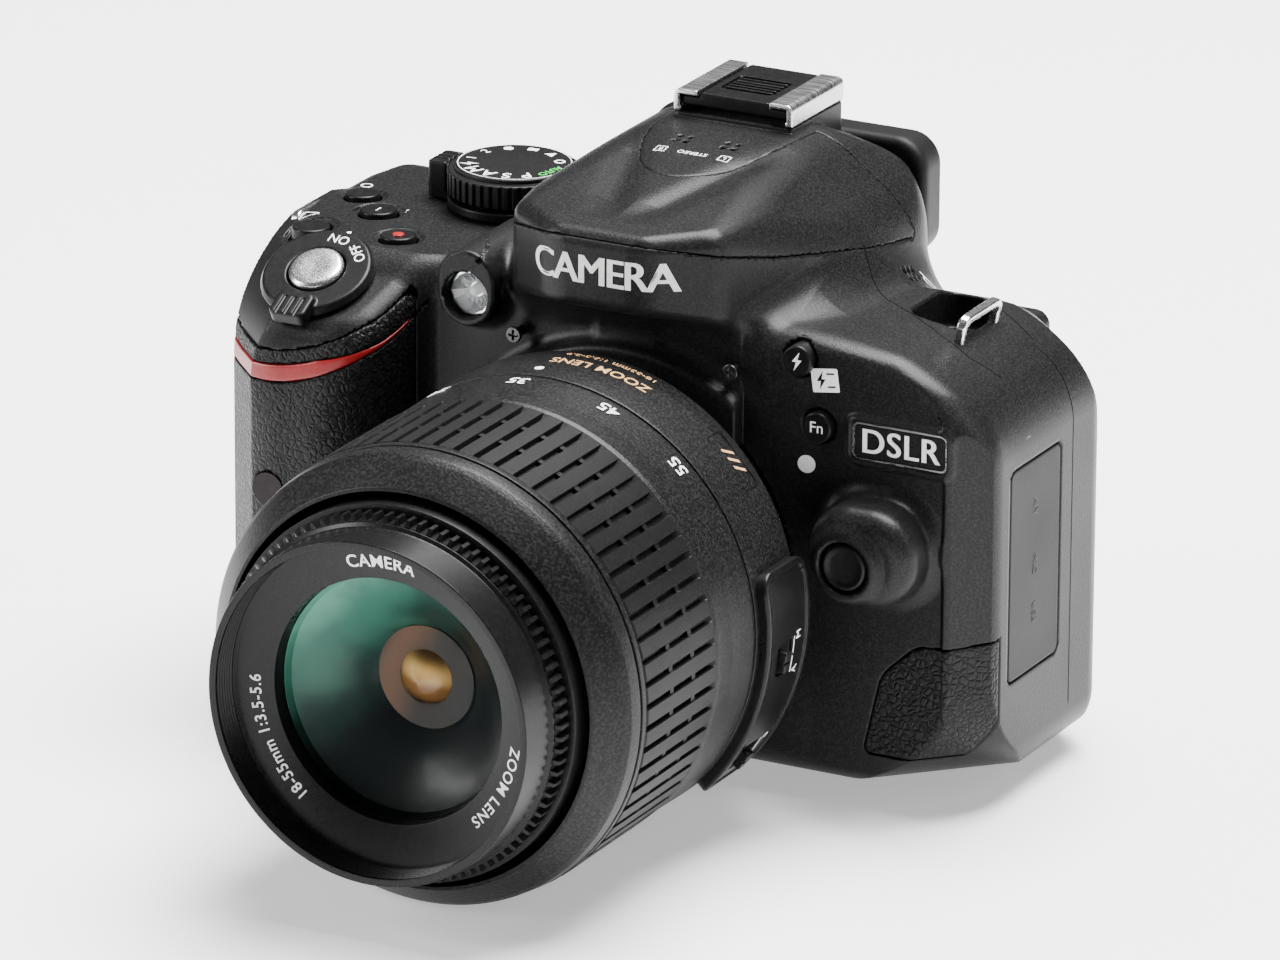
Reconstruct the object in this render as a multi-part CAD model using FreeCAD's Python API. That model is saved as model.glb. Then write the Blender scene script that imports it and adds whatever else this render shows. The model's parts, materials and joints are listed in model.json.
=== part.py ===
"""DSLR camera with a kit zoom lens, as separate pieces.

Units are millimetres. The body is drawn with the lens flange at y = 0, the lens pointing to -Y, +Z up,
and the base plane at z = 0. On export everything moves so that the origin is the tripod socket's mouth.
"""
import FreeCAD, Part
import math
import os

V = FreeCAD.Vector

# Driving dimensions
AXIS_Z = 33.5            # lens axis above the base
SOCKET_Y = 28.0          # tripod socket behind the lens flange
WALL = 2.0               # cover thickness
SKIN = 1.2               # rubber and trim thickness
GAP = 0.25               # gap around doors, lids and buttons
LEFT_X = -67.7           # grip side
RIGHT_X = 61.3           # connector side
FRONT_Y = 4.5            # front face behind the flange
GRIP_Y = -11.5           # front of the grip
REAR_Y = 58.0            # rear face beside the monitor
BAY_Y = 53.0             # floor of the monitor bay
BAY_X = -26.0            # left edge of the monitor bay
BAY_TOP = 65.5           # top edge of the monitor bay
DIAL_X = -36.8           # mode dial centre
DIAL_Y = 35.2
DIAL_R = 10.75
SHOULDER_Z = 75.5        # top of the body on the grip side
RIGHT_SHOULDER_Z = 73.4  # top of the body on the connector side
HUMP_Z = 94.3            # top of the prism hump
FRONT_SPLIT = 12.5       # parting plane between front and rear covers
TOP_SPLIT = 66.0         # parting plane under the top cover
BOTTOM_SPLIT = 6.0       # parting plane above the bottom cover
MIRROR_HINGE = (33.5, AXIS_Z + 14.5)   # y, z

# Body outlines as (first, second, corner radius)
LEFT_PLAN = [(LEFT_X, FRONT_Y, 2.0), (5.0, FRONT_Y, 0.5), (5.0, REAR_Y, 0.5), (-64.0, REAR_Y, 12.0),
             (LEFT_X, 40.0, 20.0)]
LEFT_FRONT = [(LEFT_X, 0.0, 6.0), (5.0, 0.0, 0.5), (5.0, SHOULDER_Z, 0.5), (LEFT_X, SHOULDER_Z, 10.0)]
LEFT_SIDE = [(FRONT_Y, 0.0, 9.0), (REAR_Y, 0.0, 5.0), (REAR_Y, 68.0, 4.0), (48.0, SHOULDER_Z, 6.0),
             (FRONT_Y, SHOULDER_Z, 5.0)]
RIGHT_PLAN = [(-5.0, FRONT_Y, 0.5), (RIGHT_X, FRONT_Y, 9.0), (RIGHT_X, 47.0, 8.0), (53.5, REAR_Y, 5.0),
              (-5.0, REAR_Y, 0.5)]
RIGHT_FRONT = [(-5.0, 0.0, 0.5), (RIGHT_X, 0.0, 17.0), (RIGHT_X, 61.0, 8.0), (50.0, 70.5, 9.0),
               (38.0, RIGHT_SHOULDER_Z, 8.0), (-5.0, RIGHT_SHOULDER_Z, 0.5)]
RIGHT_SIDE = [(FRONT_Y, 0.0, 11.0), (56.0, 0.0, 6.0), (56.0, 62.0, 5.0), (38.0, RIGHT_SHOULDER_Z, 10.0),
              (FRONT_Y, RIGHT_SHOULDER_Z, 5.0)]
GRIP_PLAN = [(LEFT_X, GRIP_Y, 14.0), (-41.0, GRIP_Y, 10.0), (-34.5, 10.0, 3.0), (-34.5, 30.0, 1.0),
             (LEFT_X, 30.0, 1.0)]
GRIP_FRONT = [(LEFT_X, 0.0, 6.0), (-34.0, 0.0, 1.0), (-34.0, SHOULDER_Z, 8.0), (LEFT_X, SHOULDER_Z, 10.0)]
GRIP_SIDE = [(GRIP_Y, 0.0, 9.0), (30.0, 0.0, 1.0), (30.0, SHOULDER_Z, 1.0), (8.0, SHOULDER_Z, 8.0),
             (-9.5, 66.2, 7.0), (GRIP_Y, 57.0, 6.0)]
HUMP_PLAN = [(-8.0, -6.8, 10.0), (8.0, -6.8, 10.0), (18.6, 0.5, 6.0), (28.8, 34.0, 14.0), (28.8, REAR_Y, 4.0),
             (-28.8, REAR_Y, 4.0), (-28.8, 34.0, 14.0), (-18.6, 0.5, 6.0)]
HUMP_FRONT = [(-32.0, TOP_SPLIT - 2.0, 1.0), (32.0, TOP_SPLIT - 2.0, 1.0), (28.5, 80.5, 4.0),
              (15.0, HUMP_Z, 7.0), (-15.0, HUMP_Z, 7.0), (-28.5, 80.5, 4.0)]
HUMP_SIDE = [(FRONT_Y, TOP_SPLIT - 2.0, 0.5), (REAR_Y, TOP_SPLIT - 2.0, 1.0), (REAR_Y, 88.0, 5.0),
             (46.0, HUMP_Z, 6.0), (38.0, HUMP_Z, 10.0), (-6.8, 88.4, 2.5), (-6.3, 76.5, 2.0), (FRONT_Y, 73.5, 1.0)]
SHOE_SEAT = (-10.4, 10.4, 39.2, 57.2, 84.0, HUMP_Z)
# Body corners rounded along a diagonal: sign of x, sign of y, reach along it, top (None: base), radius
LEFT_CORNERS = [(-1, -1, 49.2, SHOULDER_Z, 20.0)]
RIGHT_CORNERS = [(1, -1, 36.0, None, 20.0), (1, 1, 76.5, RIGHT_SHOULDER_Z, 24.0)]


def export(shape, name):
    """Write one piece, moved so that the tripod socket's mouth is the origin."""
    moved = shape.copy()
    moved.translate(V(0, -SOCKET_Y, 0))
    moved.exportStep("parts/%s.step" % name)


def box(x0, x1, y0, y1, z0, z1):
    return Part.makeBox(x1 - x0, y1 - y0, z1 - z0, V(x0, y0, z0))


def cyl(radius, length, at, axis):
    return Part.makeCylinder(radius, length, V(*at), V(*axis))


def tube(outer, inner, length, at, axis):
    return cyl(outer, length, at, axis).cut(cyl(inner, length, at, axis))


def fuse(shapes):
    """One solid from shapes that touch or overlap."""
    whole = shapes[0].multiFuse(shapes[1:]) if len(shapes) > 1 else shapes[0]
    return whole.removeSplitter()


def biggest(shape):
    """The largest solid of a shape, as a plain solid."""
    return max(shape.Solids, key=lambda solid: solid.Volume)


def rounded_wire(corners, place):
    """Closed outline with rounded corners; place turns two numbers into a point."""
    edges = []
    starts = []
    ends = []
    count = len(corners)
    for i, (a, b, radius) in enumerate(corners):
        here = V(a, b, 0)
        before = V(corners[i - 1][0], corners[i - 1][1], 0).sub(here)
        after = V(corners[(i + 1) % count][0], corners[(i + 1) % count][1], 0).sub(here)
        half = before.getAngle(after) / 2.0
        reach = min(radius / math.tan(half), before.Length * 0.49, after.Length * 0.49)
        before.normalize()
        after.normalize()
        middle = before.add(after)
        middle.normalize()
        fit = reach * math.tan(half)
        start = here.add(before.multiply(reach))
        end = here.add(after.multiply(reach))
        bulge = here.add(middle.multiply(fit / math.sin(half) - fit))
        starts.append(start)
        ends.append(end)
        edges.append(Part.Arc(place(start), place(bulge), place(end)).toShape())
    for i in range(count):
        following = starts[(i + 1) % count]
        if ends[i].sub(following).Length > 1e-6:
            edges.append(Part.makeLine(place(ends[i]), place(following)))
    return Part.Wire(Part.__sortEdges__(edges))


def slab(corners, place, direction, inset):
    """Rounded outline, drawn in by inset, extruded along direction."""
    wire = rounded_wire(corners, place)
    if inset > 0:
        wire = wire.makeOffset2D(-inset)
    return Part.Face(wire).extrude(V(*direction))


def block(plan, front, side, inset):
    """The common part of a plan, a front and a side outline."""
    tall = slab(plan, lambda p: V(p.x, p.y, -10), (0, 0, 130), inset)
    deep = slab(front, lambda p: V(p.x, -40, p.y), (0, 130, 0), inset)
    wide = slab(side, lambda p: V(-90, p.x, p.y), (180, 0, 0), inset)
    return tall.common(deep).common(wide)


def diagonal(corner, inset):
    """Slab whose far edge rounds one vertical body corner where it meets the base or the top."""
    sign_x, sign_y, reach, top, radius = corner
    if top is None:
        outline = [(-200.0, 0.0, 1.0), (reach, 0.0, radius), (reach, 160.0, 1.0), (-200.0, 160.0, 1.0)]
    else:
        outline = [(-200.0, -60.0, 1.0), (reach, -60.0, 1.0), (reach, top, radius), (-200.0, top, 1.0)]
    root = math.sqrt(0.5)
    across = V(-sign_y * root, sign_x * root, 0)

    def place(point):
        start = V(sign_x * root * point.x, sign_y * root * point.x, point.y)
        return start.sub(V(across).multiply(200.0))

    return slab(outline, place, tuple(V(across).multiply(400.0)), inset)


def envelope(inset):
    """The camera body without its lens, drawn in by inset."""
    left = block(LEFT_PLAN, LEFT_FRONT, LEFT_SIDE, inset)
    right = block(RIGHT_PLAN, RIGHT_FRONT, RIGHT_SIDE, inset)
    grip = block(GRIP_PLAN, GRIP_FRONT, GRIP_SIDE, inset)
    hump = block(HUMP_PLAN, HUMP_FRONT, HUMP_SIDE, inset)
    left = left.fuse(grip)
    for corner in LEFT_CORNERS:
        left = left.common(diagonal(corner, inset))
    for corner in RIGHT_CORNERS:
        right = right.common(diagonal(corner, inset))
    body = left.fuse(right)
    x0, x1, y0, y1, z0, z1 = SHOE_SEAT
    body = body.fuse(hump).fuse(box(x0 + inset, x1 - inset, y0 + inset, y1 - inset, z0, z1 - inset))
    bay = box(BAY_X - inset, 90, BAY_Y - inset, 90, -20, BAY_TOP + inset)
    dial_well = cyl(DIAL_R + 0.8 + inset, 60, (DIAL_X, DIAL_Y, SHOULDER_Z - inset), (0, 0, 1))
    return body.cut(bay).cut(dial_well)


def ring(profile):
    """Solid of revolution about the lens axis from (y, radius) corners."""
    points = [V(0, y, AXIS_Z + radius) for y, radius in profile]
    face = Part.Face(Part.makePolygon(points + points[:1]))
    return face.revolve(V(0, 0, AXIS_Z), V(0, 1, 0), 360)


def toothed(inner, outer, count, duty, y0, y1):
    """Ring of straight teeth about the lens axis, as an extruded outline."""
    points = []
    step = 2 * math.pi / count
    for i in range(count):
        for share, radius in ((0.0, inner), (0.5 - duty / 2, inner), (0.5 - duty / 2, outer),
                              (0.5 + duty / 2, outer), (0.5 + duty / 2, inner)):
            angle = (i + share) * step
            points.append(V(radius * math.cos(angle), y0, AXIS_Z + radius * math.sin(angle)))
    outline = Part.makePolygon(points + points[:1])
    return Part.Face(outline).extrude(V(0, y1 - y0, 0))


def sector(radius, start, end, y0, y1, thickness):
    """Part of a ring about the lens axis between two angles in degrees, as seen from the front."""
    whole = ring([(y0, radius), (y1, radius), (y1, radius + thickness), (y0, radius + thickness)])
    reach = 3 * radius
    steps = 12
    fan = [V(0, y0 - 1, AXIS_Z)]
    for i in range(steps + 1):
        angle = math.radians(start + (end - start) * i / steps)
        fan.append(V(reach * math.cos(angle), y0 - 1, AXIS_Z + reach * math.sin(angle)))
    wedge = Part.Face(Part.makePolygon(fan + fan[:1])).extrude(V(0, y1 - y0 + 2, 0))
    return whole.common(wedge)


def knurled_disc(radius, depth, count, height, at):
    """Upright disc with a grooved rim."""
    points = []
    for i in range(count):
        for share, r in ((0.0, radius), (0.3, radius), (0.45, radius - depth), (0.85, radius - depth)):
            angle = 2 * math.pi * (i + share) / count
            points.append(V(at[0] + r * math.cos(angle), at[1] + r * math.sin(angle), at[2]))
    return Part.Face(Part.makePolygon(points + points[:1])).extrude(V(0, 0, height))


FLASH_BREAK = (12.0, 83.4)     # y, z where the parting plane under the flash head changes slope


def flash_floor(y):
    """Height of the parting surface under the flash head."""
    slope = 0.22 if y < FLASH_BREAK[0] else 0.155
    return FLASH_BREAK[1] + (FLASH_BREAK[0] - y) * slope


def above_floor(lift, y0, y1, x0, x1):
    """Everything between y0 and y1 that is higher than the parting surface plus lift."""
    stops = sorted({y0, y1} | ({FLASH_BREAK[0]} if y0 < FLASH_BREAK[0] < y1 else set()))
    outline = [V(x0, y, flash_floor(y) + lift) for y in stops] + [V(x0, y1, 120), V(x0, y0, 120)]
    return Part.Face(Part.makePolygon(outline + outline[:1])).extrude(V(x1 - x0, 0, 0))


FLASH_PIVOT = (39.5, 91.0)     # y, z of the flash head's hinge
PANEL_X = 13.0                 # half width of the fixed panel behind the flash head
PANEL_Y = 17.0                 # front of that panel


def flash_region(spare):
    """The room the closed flash head takes, grown by spare on every side."""
    pivot_y, pivot_z = FLASH_PIVOT
    room = above_floor(-spare, -30, pivot_y + spare, -60, 60)
    ends = cyl(3.4 + spare, 120, (-60, pivot_y, pivot_z), (1, 0, 0))
    panel = box(-PANEL_X + spare, PANEL_X - spare, PANEL_Y + spare, 60, 60, 120)
    return room.fuse(ends).cut(panel)


# Buttons: name, centre, radius, outward direction, proud height
UP = (0, 0, 1)
FRONT = (0, -1, 0)
REAR = (0, 1, 0)
BUTTONS = [
    ("movie_button", (-45.3, 12.4, SHOULDER_Z), 2.9, UP, 0.9),
    ("exposure_button", (-60.8, 11.8, SHOULDER_Z), 3.1, UP, 0.7),
    ("info_button", (-54.4, 22.3, SHOULDER_Z), 3.0, UP, 0.7),
    ("release_mode_button", (-60.8, 28.6, SHOULDER_Z), 2.8, UP, 0.7),
    ("flash_button", (29.5, FRONT_Y, 69.4), 2.5, FRONT, 0.8),
    ("fn_button", (33.0, FRONT_Y, 59.1), 2.5, FRONT, 0.8),
    ("playback_button", (-32.5, REAR_Y, 58.0), 2.8, REAR, 0.8),
    ("zoom_in_button", (-32.5, REAR_Y, 20.0), 2.8, REAR, 0.8),
    ("zoom_out_button", (-32.5, REAR_Y, 11.5), 2.8, REAR, 0.8),
    ("delete_button", (-50.0, REAR_Y, 14.0), 2.8, REAR, 0.8),
    ("lock_button", (-40.0, REAR_Y, 64.5), 2.6, REAR, 0.8),
]
BUTTON_GAP = 0.3
SELECTOR = (-48.0, REAR_Y, 38.0)
SELECTOR_R = 9.5
SELECTOR_PIVOT_Y = 55.3
OK_R = 3.2

SHUTTER = (-52.7, 0.0, 71.25)          # where the release button's axis meets the grip's top
SHUTTER_TILT = math.radians(28.0)
SHUTTER_AXIS = (0, -math.sin(SHUTTER_TILT), math.cos(SHUTTER_TILT))
SHUTTER_R = 4.55
COLLAR_R = 8.3
COLLAR_BORE = 4.9
SLEEVE_R = 5.6

RELEASE = (41.9, 40.2)                 # lens release button, x and z
RELEASE_R = 3.9
LAMP = (-26.5, 72.3)                   # assist lamp, x and z
LAMP_R = 3.7
THROAT_R = 22.2
MOUNT_R = 28.5
DIAL_WHEEL = (-55.0, 53.5, 68.0)       # command dial centre
DIAL_WHEEL_R = 7.0
ARM_AXIS = (49.5, 58.0)                # monitor hinge, x and y
ARM_R = 4.2
EYECUP_Z = 78.5


def along(base, axis, distance):
    """The point at a distance from base along axis."""
    return tuple(b + a * distance for b, a in zip(base, axis))


def button(radius, base, axis, proud):
    """Round button: a cap through the cover and a flange behind it."""
    cap = cyl(radius, WALL + 0.4 + proud, along(base, axis, -WALL - 0.4), axis)
    flange = cyl(radius + 0.9, 0.8, along(base, axis, -WALL - 1.1), axis)
    return fuse([cap, flange])


def button_holes():
    """The openings for every button, dial shaft, lamp and the release button."""
    holes = []
    round_keys = [(base, radius, axis) for _, base, radius, axis, _ in BUTTONS] + [(SELECTOR, SELECTOR_R, REAR)]
    for base, radius, axis in round_keys:
        holes.append(cyl(radius + BUTTON_GAP, 14, along(base, axis, -6), axis))
        holes.append(cyl(radius + 1.2, 4.0, along(base, axis, -WALL - 4.0), axis))
    holes.append(cyl(SLEEVE_R + BUTTON_GAP, 16, along(SHUTTER, SHUTTER_AXIS, -8), SHUTTER_AXIS))
    holes.append(cyl(2.8, 12, (DIAL_X, DIAL_Y, SHOULDER_Z - 6), UP))
    holes.append(cyl(LAMP_R + 0.05, 14, (LAMP[0], FRONT_Y + 5, LAMP[1]), FRONT))
    holes.append(cyl(RELEASE_R + BUTTON_GAP, 20, (RELEASE[0], FRONT_Y + 5, RELEASE[1]), FRONT))
    holes.append(cyl(DIAL_WHEEL_R + 0.5, 4.2, along(DIAL_WHEEL, UP, -2.1), UP))
    return holes


# Doors: room in the covers, as x0, x1, y0, y1, z0, z1
CONNECTOR_ROOM = (55.0, 65.0, 15.0, 33.0, 18.0, 53.0)
CARD_ROOM = (-75.0, -64.0, 31.0, 48.5, 26.0, 60.0)
BATTERY_ROOM = (-64.0, -43.0, -5.0, 34.0, -3.0, 4.0)
DOOR = 1.6                             # door thickness
CONNECTOR_HINGE = (RIGHT_X - 1.0, 16.1)    # x, y, axis along Z
CARD_HINGE = (-65.1, 47.4)                 # x, y, axis along Z
BATTERY_HINGE = (-44.3, 1.1)               # x, z, axis along Y
PIN_R = 0.7
CARD_HINGE_ROOM = 1.5                      # clear radius around the card door's rounded edge


def shrink(room, amount):
    x0, x1, y0, y1, z0, z1 = room
    return x0 + amount, x1 - amount, y0 + amount, y1 - amount, z0 + amount, z1 - amount


def layers():
    """Body outlines at the insets that the covers, pads and doors need."""
    return {inset: envelope(inset) for inset in (0.0, SKIN, DOOR, WALL, WALL + SKIN)}


# Rubber and trim regions on the skin
GRIP_BOX = (-80, -37.0, -20, 20.0, 7.0, 56.0)
FRONT_PAD_BOX = (40.0, 80, -20, 12.0, 7.0, 27.0)
THUMB_BOX = (-80, -52.0, 50.0, 80, 47.0, 60.0)


def accent_box():
    """Slanting strip along the top of the grip, highest at the mount side."""
    corners = [V(-80, -30, 56.2), V(-52, -30, 56.2), V(-34, -30, 63.5), V(-34, -30, 66.0), V(-52, -30, 59.6),
               V(-80, -30, 59.6)]
    return Part.Face(Part.makePolygon(corners + corners[:1])).extrude(V(0, 42, 0))


def skins(layer):
    """Grip rubber, rubber pads and the accent strip, cut from the body's skin."""
    skin = layer[0.0].cut(layer[SKIN])
    pads = [skin.common(box(*FRONT_PAD_BOX)), skin.common(box(*THUMB_BOX))]
    return {
        "grip_rubber": skin.common(box(*GRIP_BOX)).cut(accent_box()),
        "rubber_pads": Part.makeCompound([biggest(pad) for pad in pads]),
        "grip_accent": biggest(skin.common(accent_box())),
    }


def covers(layer, skin, fitted):
    """The four body covers, hollow, with every opening."""
    shell = layer[0.0].cut(layer[WALL])
    backing = layer[SKIN].cut(layer[WALL + SKIN])
    for region in (box(*GRIP_BOX), box(*FRONT_PAD_BOX), box(*THUMB_BOX), accent_box()):
        shell = shell.fuse(backing.common(region))
    inside = FRONT_Y + WALL
    release_bulge = block([(35.5, -3.5, 2.5), (48.0, -3.5, 4.0), (53.0, inside, 1.0), (35.5, inside, 1.0)],
                          [(35.5, 32.5, 5.0), (53.0, 32.5, 4.0), (53.0, 50.5, 5.0), (35.5, 50.5, 5.0)],
                          [(-3.5, 32.5, 4.0), (inside, 32.5, 1.0), (inside, 50.5, 1.0), (-3.5, 50.5, 4.0)], 0)
    shell = shell.fuse(release_bulge)
    shell = shell.fuse(cyl(LAMP_R + 1.3, 4.5, (LAMP[0], FRONT_Y + 2, LAMP[1]), FRONT))
    openings = button_holes()
    openings.append(cyl(MOUNT_R + 0.05, 20, (0, FRONT_Y + 6, AXIS_Z), FRONT))
    openings.append(flash_region(BUTTON_GAP).common(box(-60, 60, -30, 60, 70, 120)))
    openings.append(box(-12.0, 12.0, 50.0, 70.0, EYECUP_Z - 6.5, EYECUP_Z + 6.5))
    openings.append(box(*CONNECTOR_ROOM))
    openings.append(box(*CARD_ROOM))
    openings.append(box(-70.0, -55.0, 38.5, 43.5, 30.0, 56.0))
    openings.append(cyl(CARD_HINGE_ROOM, 34.0, (CARD_HINGE[0], CARD_HINGE[1], 26.0), UP))
    openings.append(box(*BATTERY_ROOM))
    openings.append(cyl(6.05, 20, (0, SOCKET_Y, -5), UP))
    openings.append(cyl(PIN_R + 0.08, 38.0, (CONNECTOR_HINGE[0], CONNECTOR_HINGE[1], 16.5), UP))
    openings.append(cyl(PIN_R + 0.08, 37.0, (CARD_HINGE[0], CARD_HINGE[1], 24.5), UP))
    openings.append(cyl(PIN_R + 0.08, 42.0, (BATTERY_HINGE[0], -6.5, BATTERY_HINGE[1]), REAR))
    openings += [skin[name] for name in ("grip_rubber", "grip_accent", "rubber_pads")]
    openings += [fitted[name] for name in ("body_screws", "strap_eyelets", "ir_windows")]
    for hole in openings:
        shell = shell.cut(hole)
    return shell


def split_covers(shell):
    """Front, rear, top and bottom covers from the whole shell, with bosses and inner walls."""
    whole = box(-90, 90, -40, 90, -10, 120)
    top = box(-90, 90, -40, 90, TOP_SPLIT, 120)
    bottom = box(-90, 90, -40, 90, -10, BOTTOM_SPLIT)
    front = box(-90, 90, -40, FRONT_SPLIT, BOTTOM_SPLIT, TOP_SPLIT)
    rear = whole.cut(top).cut(bottom).cut(front)
    return {name: biggest(shell.common(region)) for name, region in
            (("front_cover", front), ("rear_cover", rear), ("top_cover", top), ("bottom_cover", bottom))}


def flash_well(layer):
    """Floor and walls inside the hump that close the room of the flash head."""
    spare = BUTTON_GAP
    pivot_y = FLASH_PIVOT[0]
    floor = above_floor(-spare - 1.6, -30, pivot_y + 6, -60, 60)
    floor = floor.cut(above_floor(-spare, -31, pivot_y + 7, -61, 61))
    upper = above_floor(-spare - 1.6, -30, 60, -60, 60)
    cheek = box(PANEL_X - spare - 1.4, PANEL_X - spare, PANEL_Y + spare, 44, 60, 120)
    other = box(-PANEL_X + spare, -PANEL_X + spare + 1.4, PANEL_Y + spare, 44, 60, 120)
    brow = box(-PANEL_X + spare, PANEL_X - spare, PANEL_Y + spare, PANEL_Y + spare + 1.4, 60, 120)
    back = box(-40, 40, pivot_y + 3.7 + spare, pivot_y + 5.2 + spare, 60, 120)
    walls = floor.fuse([wall.common(upper) for wall in (cheek, other, brow, back)])
    pins = cyl(1.08, 60, (-30, *FLASH_PIVOT), (1, 0, 0))
    return walls.common(layer[SKIN]).cut(flash_region(spare)).cut(pins)


def flash_parts(layer):
    """The pop-up flash head and its window, closed."""
    region = flash_region(0)
    shell = layer[0.0].cut(layer[DOOR]).common(region)
    pivot_y, pivot_z = FLASH_PIVOT
    window_room = above_floor(-1, -0.5, 11.5, -13.0, 13.0)
    under = above_floor(0, -30, PANEL_Y, -60, 60).cut(above_floor(1.4, -31, PANEL_Y + 1, -61, 61))
    under = under.common(layer[SKIN]).common(region)
    back = box(-PANEL_X - 1, PANEL_X + 1, PANEL_Y - 1.6, PANEL_Y - 0.05, 60, 120)
    back = back.common(layer[SKIN]).common(region)
    inner_cheeks = []
    hubs = []
    for side in (-1, 1):
        x0, x1 = sorted((side * (PANEL_X + 0.05), side * (PANEL_X + 1.6)))
        cheek = box(x0, x1, PANEL_Y - 1, 60, 60, 120)
        inner_cheeks.append(cheek.common(layer[SKIN]).common(region))
        start = side * (PANEL_X - 1.6)
        hubs.append(cyl(1.0, 3.0, (start, pivot_y, pivot_z), (side, 0, 0)))
    head = biggest(shell.fuse([under, back] + inner_cheeks)).cut(window_room.common(under)).fuse(hubs)
    window = above_floor(0.2, -0.45, 11.45, -12.95, 12.95).cut(above_floor(1.2, -30, 60, -60, 60))
    return {"flash_head": biggest(head), "flash_window": window}


def doors(layer):
    """Connector cover, card door and battery door, closed, each with its hinge pin."""
    skin = layer[0.0].cut(layer[DOOR])
    x, y = CONNECTOR_HINGE
    connector = skin.common(box(*shrink(CONNECTOR_ROOM, GAP))).cut(box(50, 70, 10, y, 10, 60))
    connector = connector.fuse([cyl(0.85, 34.5, (x, y, 18.25), UP), cyl(PIN_R, 37.5, (x, y, 16.75), UP)])
    x, y = CARD_HINGE
    card = skin.common(box(*shrink(CARD_ROOM, GAP))).cut(box(-80, -50, y, 60, 20, 70))
    card = card.fuse([cyl(1.0, 33.5, (x, y, 26.25), UP), cyl(PIN_R, 36.5, (x, y, 24.75), UP)])
    x, z = BATTERY_HINGE
    battery = skin.common(box(*shrink(BATTERY_ROOM, GAP))).cut(box(x, -30, -10, 40, -5, 10))
    battery = battery.fuse([cyl(0.9, 38.5, (x, -4.75, z), REAR), cyl(PIN_R, 41.0, (x, -6.25, z), REAR)])
    return {"connector_cover": biggest(connector), "card_door": biggest(card), "battery_door": biggest(battery)}


def controls():
    """Every push button, wheel, dial and lever of the body."""
    made = {name: button(radius, base, axis, proud) for name, base, radius, axis, proud in BUTTONS}
    pad = fuse([cyl(SELECTOR_R, WALL + 1.6, along(SELECTOR, REAR, -WALL - 0.4), REAR),
                cyl(SELECTOR_R + 0.9, 0.8, along(SELECTOR, REAR, -WALL - 1.1), REAR)])
    pivot = cyl(0.7, 2 * SELECTOR_R, (SELECTOR[0] - SELECTOR_R, SELECTOR_PIVOT_Y, SELECTOR[2]), (1, 0, 0))
    pad = pad.fuse(pivot)
    made["selector_pad"] = pad.cut(cyl(OK_R + BUTTON_GAP, 10, along(SELECTOR, REAR, -5), REAR))
    made["ok_button"] = cyl(OK_R, WALL + 1.4, along(SELECTOR, REAR, -WALL - 0.4), REAR)
    cap = Part.makeCone(SHUTTER_R, SHUTTER_R - 0.5, 0.6, V(*along(SHUTTER, SHUTTER_AXIS, 2.0)), V(*SHUTTER_AXIS))
    made["shutter_button"] = fuse([cyl(SHUTTER_R, 5.0, along(SHUTTER, SHUTTER_AXIS, -3.0), SHUTTER_AXIS), cap])
    plate = tube(COLLAR_R, COLLAR_BORE, 1.5, along(SHUTTER, SHUTTER_AXIS, 0.3), SHUTTER_AXIS)
    sleeve = tube(SLEEVE_R, COLLAR_BORE, 4.0, along(SHUTTER, SHUTTER_AXIS, -3.4), SHUTTER_AXIS)
    tab = box(SHUTTER[0] - 3.2, SHUTTER[0] + 3.2, -COLLAR_R - 1.8, -COLLAR_BORE - 1.2, 0.3, 2.8)
    tab.rotate(V(0, 0, 0), V(1, 0, 0), math.degrees(SHUTTER_TILT))
    tab.translate(V(0, SHUTTER[1], SHUTTER[2]))
    made["power_switch"] = fuse([plate, sleeve, tab])
    disc = knurled_disc(DIAL_R, 0.45, 44, 4.0, (DIAL_X, DIAL_Y, 78.0))
    face = cyl(DIAL_R - 1.2, 0.8, (DIAL_X, DIAL_Y, 82.0), UP)
    shaft = cyl(2.5, 7.0, (DIAL_X, DIAL_Y, 71.5), UP)
    foot = cyl(4.0, 0.8, (DIAL_X, DIAL_Y, 71.0), UP)
    made["mode_dial"] = fuse([disc, face, shaft, foot])
    lever = tube(DIAL_R, 2.85, 1.6, (DIAL_X, DIAL_Y, SHOULDER_Z + 0.3), UP)
    grip = box(DIAL_X - 14.2, DIAL_X - DIAL_R + 0.6, DIAL_Y - 3.2, DIAL_Y + 3.2, SHOULDER_Z + 0.3, 77.2)
    post = box(DIAL_X - 14.2, DIAL_X - DIAL_R - 0.5, DIAL_Y - 3.2, DIAL_Y + 3.2, 77.2, 82.0)
    made["live_view_lever"] = fuse([lever, grip, post])
    wheel = knurled_disc(DIAL_WHEEL_R, 0.4, 30, 3.4, along(DIAL_WHEEL, UP, -1.7))
    made["command_dial"] = fuse([wheel, cyl(1.5, 4.8, along(DIAL_WHEEL, UP, -3.1), UP)])
    knob = cyl(RELEASE_R, 13.6, (RELEASE[0], FRONT_Y + 5.0, RELEASE[1]), FRONT)
    made["lens_release_button"] = fuse([knob, cyl(RELEASE_R + 0.9, 1.0, (RELEASE[0], FRONT_Y + 6.0, RELEASE[1]), FRONT)])
    return made


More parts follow.
